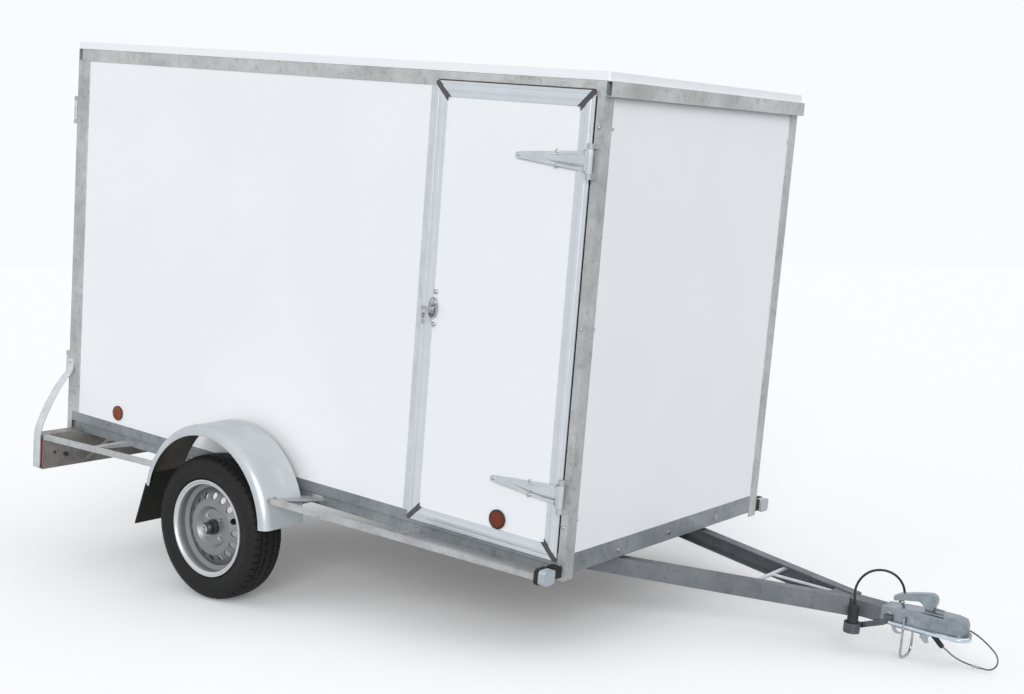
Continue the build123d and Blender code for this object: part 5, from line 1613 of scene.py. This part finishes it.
@dataclass
class WheelHeads:
    """Four wheel bolts on their seats and the bright grease cap of one wheel."""

    side: Side
    body: Body
    bolts: int = 4
    ring: float = 50.0
    seat: float = 828.0
    cap: float = 872.0
    cap_r: float = 16.5
    cap_deep: float = 12.0

    def build(self) -> None:
        """Copies the bolts round the hub and turns the cap."""
        out = self.side.value
        name = self.side.word
        rows = []
        for step in range(self.bolts):
            turn = math.tau * (step + 0.5) / self.bolts
            place = (self.ring * math.cos(turn), out * self.seat, self.ring * math.sin(turn))
            rows.append((Head.WHEEL, place, (0.0, out, 0.0)))
        Fastenings("wheel_bolts_" + name, self.body, rows, CHROME).build()
        cap = Workpiece.disc("hub_cap_" + name, level(0.0, out * self.cap, 0.0), self.cap_r * MM,
                             self.cap_deep * MM, "Y", 32)
        cap.faces((0.0, out, 0.0)).inset(0.0020, 0.0016).inset(0.0035, 0.0014)
        cap.inset(0.0015, 0.004).inset(0.0035, 0.0006)
        done(cap.shape(), CHROME, self.body)


@dataclass
class Coupling:
    """What is fastened to the coupling and its tube: the lip, bright with a painted highlight, and the brackets
    below.
    """

    lip_rear: float = 2332.0
    lip_low: float = 87.0
    lip_tall: float = 10.0
    nose_x: float = 2545.0
    nose_r: float = 43.6
    seam_x: float = 2400.0
    sheet: float = 4.0
    # Outlines of the two bent strips, forward and up, and their right faces
    strip_y: float = -14.0
    strip_path: Sequence[tuple[float, float]] = (
        (2430.0, 80.8), (2430.0, 62.0), (2450.0, 46.0), (2462.0, 52.0), (2456.0, 66.0), (2470.0, 80.8),
    )
    hook_y: float = -24.0
    hook_path: Sequence[tuple[float, float]] = (
        (2336.0, 80.8), (2340.0, 66.0), (2350.0, 57.0), (2371.0, 56.0), (2371.0, 62.0), (2357.0, 64.0),
        (2352.0, 74.0), (2372.0, 80.8),
    )
    plate_low: Point = (2340.0, -28.0, 76.5)
    plate_high: Point = (2450.0, 28.0, 80.8)

    def lip(self) -> None:
        """The lip along the housing's lower edges and round its nose, in a bright bluish finish that paints a
        highlight.
        """
        low, side = self.lip_low, self.nose_r
        rows = [(x, -side, low) for x in (self.lip_rear, self.seam_x, self.nose_x)]
        for turn_deg in range(15, 180, 15):
            turn = math.radians(turn_deg)
            rows.append((self.nose_x + side * math.sin(turn), -side * math.cos(turn), low))
        rows += [(x, side, low) for x in (self.nose_x, self.seam_x, self.lip_rear)]
        work = Workpiece.outline("coupling_lip", [level(*row) for row in rows], filled=False)
        work.extrude(level(0.0, 0.0, self.lip_tall))
        work.wall(self.sheet * MM).tidy().soften(0.0014, 3, 30.0)
        done(work.shape(), LIP_HIGHLIGHT, Body.TRAILER)

    def bent(self, name: str, y: float, path: Sequence[tuple[float, float]]) -> bpy.types.Object:
        """A strip cut to an outline seen from the side.

        Args:
            name: Its name.
            y: Its right face.
            path: The outline, forward and up.

        Returns:
            The plain object, on the level trailer.
        """
        work = Workpiece.outline(name, [level(x, y, z) for x, z in path])
        work.everything().extrude(level(0.0, self.sheet, 0.0)).tidy().soften(0.0008)
        return work.shape()

    def brackets(self) -> None:
        """The cable's bent strip, the rear bracket below the tube and their plate."""
        strip = self.bent("cable_bracket", self.strip_y, self.strip_path)
        hook = self.bent("hoop_bracket", self.hook_y, self.hook_path)
        plate = Workpiece.block("hoop_plate", level(*self.plate_low), level(*self.plate_high))
        plate.tidy().soften(0.002, 3)
        done(joined("tube_brackets", [strip, hook, plate.shape()]), PLATED, Body.TRAILER)

    def build(self) -> None:
        """Makes the lip and the brackets."""
        self.lip()
        self.brackets()


@dataclass
class Ferrule:
    """A pressed sleeve on the cable, waisted where the tool closed it."""

    centre: Point = (2624.0, -19.5, 20.6)
    long: float = 24.0
    radius: float = 4.8
    waist: float = 0.8

    def build(self) -> bpy.types.Object:
        """Shapes the sleeve from a rod.

        Returns:
            The finished sleeve.
        """
        work = Workpiece.disc("cable_ferrule", level(*self.centre), self.radius * MM, self.long * MM, "X", 16)
        work.ends(AHEAD).inset(0.0012)
        work.cut_up(3)
        work.pick(lambda place, way: abs(place.x - self.centre[0] * MM) < 0.004, "VERT")
        work.scale((1.0, self.waist, self.waist), level(*self.centre))
        return done(work.shape(), PLATED, Body.TRAILER)


def mirrored_rows(rows: Sequence[tuple[Head, Point, Point]]) -> list[tuple[Head, Point, Point]]:
    """The rows, and the same on the trailer's left side."""
    return [*rows, *((kind, (x, -y, z), (a, -b, c)) for kind, (x, y, z), (a, b, c) in rows)]


def post_heads() -> list[tuple[Head, Point, Point]]:
    """Rivets and bolts on the box's posts, sills and drawbar, for both sides.

    Returns:
        A row for each: its kind, its place and the way it faces.
    """
    rows = [
        (Head.RIVET, (1457.0, -650.0, 1590.0), RIGHTWARD), (Head.RIVET, (1455.0, -650.0, 957.0), RIGHTWARD),
        (Head.RIVET, (1452.0, -650.0, 308.0), RIGHTWARD),
        (Head.SMALL_RIVET, (1470.0, -592.0, 1588.0), AHEAD),
        *((Head.SMALL_RIVET, (1470.0, -597.0, z), AHEAD) for z in (955.0, 330.0)),
        *((Head.RIVET, (-1093.0, -650.0, z), RIGHTWARD) for z in (332.0, 957.0, 1590.0)),
        (Head.BOLT, (-1136.0, -650.0, 421.0), RIGHTWARD),
        (Head.SMALL_BOLT, (2333.0, -36.5, 122.0), RIGHTWARD),
        (Head.SMALL_BOLT, (2408.0, -36.5, 116.0), RIGHTWARD),
        (Head.SMALL_BOLT, (331.0, -848.0, 187.0), UPWARD), (Head.SMALL_BOLT, (300.0, -770.0, 187.0), UPWARD),
    ]
    sill_bolts = [(Head.BOLT, (1470.0, y, 178.0), AHEAD) for y in (-11.0, 330.0, -330.0)]
    return mirrored_rows(rows) + sill_bolts + [(Head.BOLT, (2354.0, 0.0, 156.0), UPWARD)]


def door_heads() -> list[tuple[Head, Point, Point]]:
    """Rivets through the side door's hinges and beside its lock.

    Returns:
        A row for each: its kind, its place and the way it faces.
    """
    strap_face = DOOR_FACE_Y - 3.0
    on_strap = ((1160.0, 0.0), (1313.0, 23.0), (1313.0, -23.0), (1420.0, 29.0), (1420.0, -29.0))
    straps = [(Head.RIVET, (x, strap_face, z + up), RIGHTWARD) for z in HINGE_HEIGHTS for x, up in on_strap]
    return straps + [(Head.DOME, (854.0, DOOR_FACE_Y, z), RIGHTWARD) for z in (997.0, 885.0)]


@dataclass
class BoardWiring:
    """The light board's cable gland and blanking plug, on its front face."""

    face_x: float = -1052.0
    gland_at: tuple[float, float] = (-729.0, 53.0)
    gland_r: float = 9.0
    plug_at: tuple[float, float] = (-781.0, 66.0)
    plug_r: float = 6.0

    def build(self) -> None:
        """Turns the gland and the plug from discs."""
        gland = Workpiece.disc("board_gland", level(self.face_x + 5, *self.gland_at), self.gland_r * MM,
                               0.010, "X", 20)
        gland.faces(AHEAD).inset(0.0015, 0.002).inset(0.002, 0.004)
        done(gland.shape(), BLACK_MOULDING, Body.TRAILER)
        cap = Workpiece.disc("board_plug", level(self.face_x + 1, *self.plug_at), self.plug_r * MM, 0.003,
                             "X", 20)
        cap.faces(AHEAD).inset(0.0015, 0.0008).inset(0.0015, -0.001)
        done(cap.shape(), BLACK_MOULDING, Body.TRAILER)


@dataclass
class RearLamps:
    """Lens fields on the rear lamps: amber outside, red in the middle, clear inside."""

    # Each field's name, its inner and outer edge from the middle, and its lens
    fields: Sequence[tuple[str, float, float, Finish]] = (
        ("lamp_field_amber", 770.0, 827.0, AMBER), ("lamp_field_red", 690.0, 766.0, RED),
        ("lamp_field_clear", 618.0, 686.0, CLEAR),
    )
    back_x: float = -1100.0
    proud: float = 7.0
    low: float = 16.0
    high: float = 118.0

    def build(self) -> None:
        """Sinks a stepped rim into each field's block and gives the block its lens."""
        for name, near, far, lens in self.fields:
            work = Workpiece.block(name, level(self.back_x - self.proud, -far, self.low),
                                   level(self.back_x + 2, -near, self.high))
            work.faces(BACKWARD).inset(0.0018, 0.0).inset(0.0014, -0.0014)
            work.tidy().soften(0.0016, 3, 50.0)
            one = work.shape()
            done(joined(name, [one, mirrored(one)]), lens, Body.TRAILER)


@dataclass
class Studio:
    """The camera, lamps, floor and white surroundings."""

    key_strength: float = 1.82
    key_angle_deg: float = 34.0
    key_turn_deg: Point = (72.0, 0.0, 39.0)
    sky: float = 0.74
    floor_half: float = 30.0
    sky_colour: Point = (0.945, 0.972, 1.0)
    bounce: float = 0.30
    glow: float = 0.085

    def camera(self) -> None:
        """Sets the camera as the picture was taken."""
        bpy.ops.object.camera_add(
            location=CAMERA_PLACE, rotation=[math.radians(turn) for turn in CAMERA_TURN_DEG])
        camera = bpy.context.object
        camera.data.sensor_width = SENSOR_MM
        camera.data.lens = CAMERA_LENS_MM
        bpy.context.scene.camera = camera

    def lamps(self) -> None:
        """Adds one broad soft sun."""
        bpy.ops.object.light_add(type="SUN", rotation=[math.radians(turn) for turn in self.key_turn_deg])
        sun = bpy.context.object.data
        sun.energy = self.key_strength
        sun.angle = math.radians(self.key_angle_deg)

    def seen(self, tree: bpy.types.NodeTree) -> bpy.types.NodeSocket:
        """A share of 1 on rays that show the surroundings: camera, glossy and transmission.

        Args:
            tree: The nodes of the world or of the floor.

        Returns:
            The share's socket.
        """
        path = tree.nodes.new("ShaderNodeLightPath")
        share = path.outputs["Is Camera Ray"]
        for ray in ("Is Glossy Ray", "Is Transmission Ray"):
            larger = tree.nodes.new("ShaderNodeMath")
            larger.operation = "MAXIMUM"
            tree.links.new(share, larger.inputs[0])
            tree.links.new(path.outputs[ray], larger.inputs[1])
            share = larger.outputs["Value"]
        return share

    def surroundings(self) -> None:
        """White where it is seen, and a plain sky level where it lights the object."""
        world = bpy.data.worlds.new("surroundings")
        world.use_nodes = True
        tree = world.node_tree
        back = tree.nodes["Background"]
        back.inputs["Color"].default_value = (*self.sky_colour, 1.0)
        strength = tree.nodes.new("ShaderNodeMapRange")
        strength.inputs["To Min"].default_value = self.sky
        strength.inputs["To Max"].default_value = 1.0
        tree.links.new(self.seen(tree), strength.inputs["Value"])
        tree.links.new(strength.outputs["Result"], back.inputs["Strength"])
        bpy.context.scene.world = world

    def floor(self) -> None:
        """Lays a floor that shows white, with the object's shadow, and bounces a plain grey."""
        bpy.ops.mesh.primitive_plane_add(size=2 * self.floor_half, location=(0.0, 0.0, 0.0))
        floor = bpy.context.object
        floor.name = "studio_floor"
        shader = Shader("studio_floor")
        share = self.seen(shader.tree)
        tone = shader.mix(share, (self.bounce,) * 3, (1.0, 1.0, 1.0))
        shader.feed("Emission Strength", shader.level(share, 0.0, 1.0, 0.0, self.glow))
        shader.feed("Base Color", tone).set(Roughness=1.0, Specular_IOR_Level=0.0)
        floor.data.materials.append(shader.material)

    def build(self) -> None:
        """Sets up the whole studio."""
        self.camera()
        self.lamps()
        self.surroundings()
        self.floor()
        bpy.context.scene.view_settings.view_transform = "Standard"
        log.info("studio ready")


def dress_frame() -> None:
    """Gives every CAD node the finish of its record slot."""
    slots = {part["node"]: part["material_slot"] for part in frame["record"]["subparts"]}
    for name, node in frame["nodes"].items():
        finish = BY_NODE.get(name, BY_SLOT[Slot(slots[name])])
        node.data.materials.clear()
        node.data.materials.append(finish.material())
    log.info("%d frame nodes dressed", len(frame["nodes"]))


def main() -> None:
    """Builds the studio and dresses the trailer, piece by piece."""
    logging.basicConfig(level=logging.INFO, format="%(asctime)s %(name)s: %(message)s")
    Studio().build()
    cords = (
        Cord("lead", lead_route(), diameter=0.008, length=1.144, far_end="object", stiffness="medium",
             lay="hanging", finish=SHEATH, node="trailer_lead", on_it=["plug"]),
        Cord("cable", cable_route(), diameter=0.005, length=0.464, far_end="connector", stiffness="medium",
             lay="hanging", finish=ROPE, node="safety_cable", on_it=["cable_hook"]),
    )
    for cord in cords:
        cord.build()
        log.info("cord %s made", cord.name)
    dress_frame()
    wheels = ((Side.RIGHT, Body.WHEEL_RIGHT), (Side.LEFT, Body.WHEEL_LEFT))
    for side, body in wheels:
        Tyre(side, body).build()
    hinges = (
        ("side_straps", Body.SIDE_DOOR, hinge_places(1446.0, DOOR_FACE_Y, BACKWARD, RIGHTWARD),
         "side_door_hinges"),
        ("rear_right_straps", Body.REAR_DOOR_RIGHT, hinge_places(REAR_FACE_X, -638.0, LEFTWARD, BACKWARD),
         "rear_door_right_hinges"),
        ("rear_left_straps", Body.REAR_DOOR_LEFT, hinge_places(REAR_FACE_X, 638.0, RIGHTWARD, BACKWARD),
         "rear_door_left_hinges"),
    )
    for name, body, places, node in hinges:
        StrapHinge(name).build(body, places, STRAP_PLATE, node)
    doors = (
        ("side_door_bars", "side_door_frame", Body.SIDE_DOOR, (794.0, DOOR_FACE_Y, DOOR_LOW), AHEAD,
         RIGHTWARD, 644.0),
        ("rear_right_bars", "rear_door_right_frame", Body.REAR_DOOR_RIGHT, (REAR_FACE_X, -636.0, DOOR_LOW),
         LEFTWARD, BACKWARD, 634.5),
        ("rear_left_bars", "rear_door_left_frame", Body.REAR_DOOR_LEFT, (REAR_FACE_X, 1.5, DOOR_LOW),
         LEFTWARD, BACKWARD, 634.5),
    )
    for door in doors:
        DoorBars(*door).build(ALUMINIUM)
    rear, front, height = -815.0, 1190.0, 262.0
    right, left = Side.RIGHT.value, Side.LEFT.value
    reflectors = (
        ("door_reflector", Body.SIDE_DOOR, (front, DOOR_FACE_Y, 276.0), right, 33.0, AMBER_SHADED,
         ["side_door_reflector"]),
        ("side_reflector_rear", Body.TRAILER, (rear, -WALL_Y, height), right, 30.0, AMBER,
         ["side_reflectors"]),
        ("side_reflector_left_rear", Body.TRAILER, (rear, WALL_Y, height), left, 30.0, AMBER),
        ("side_reflector_left_front", Body.TRAILER, (front, WALL_Y, height), left, 30.0, AMBER),
    )
    for reflector in reflectors:
        Reflector(*reflector).build()
    Fastenings("frame_heads", Body.TRAILER, post_heads(), CHROME).build()
    Fastenings("door_heads", Body.SIDE_DOOR, door_heads(), CHROME).build()
    Coupling().build()
    BoardStraps().build()
    FrameTrim().build()
    for side, body in wheels:
        WheelHeads(side, body).build()
    Ferrule().build()
    BoardWiring().build()
    RearLamps().build()
    DoorLock().build()


if __name__ == "__main__":
    main()
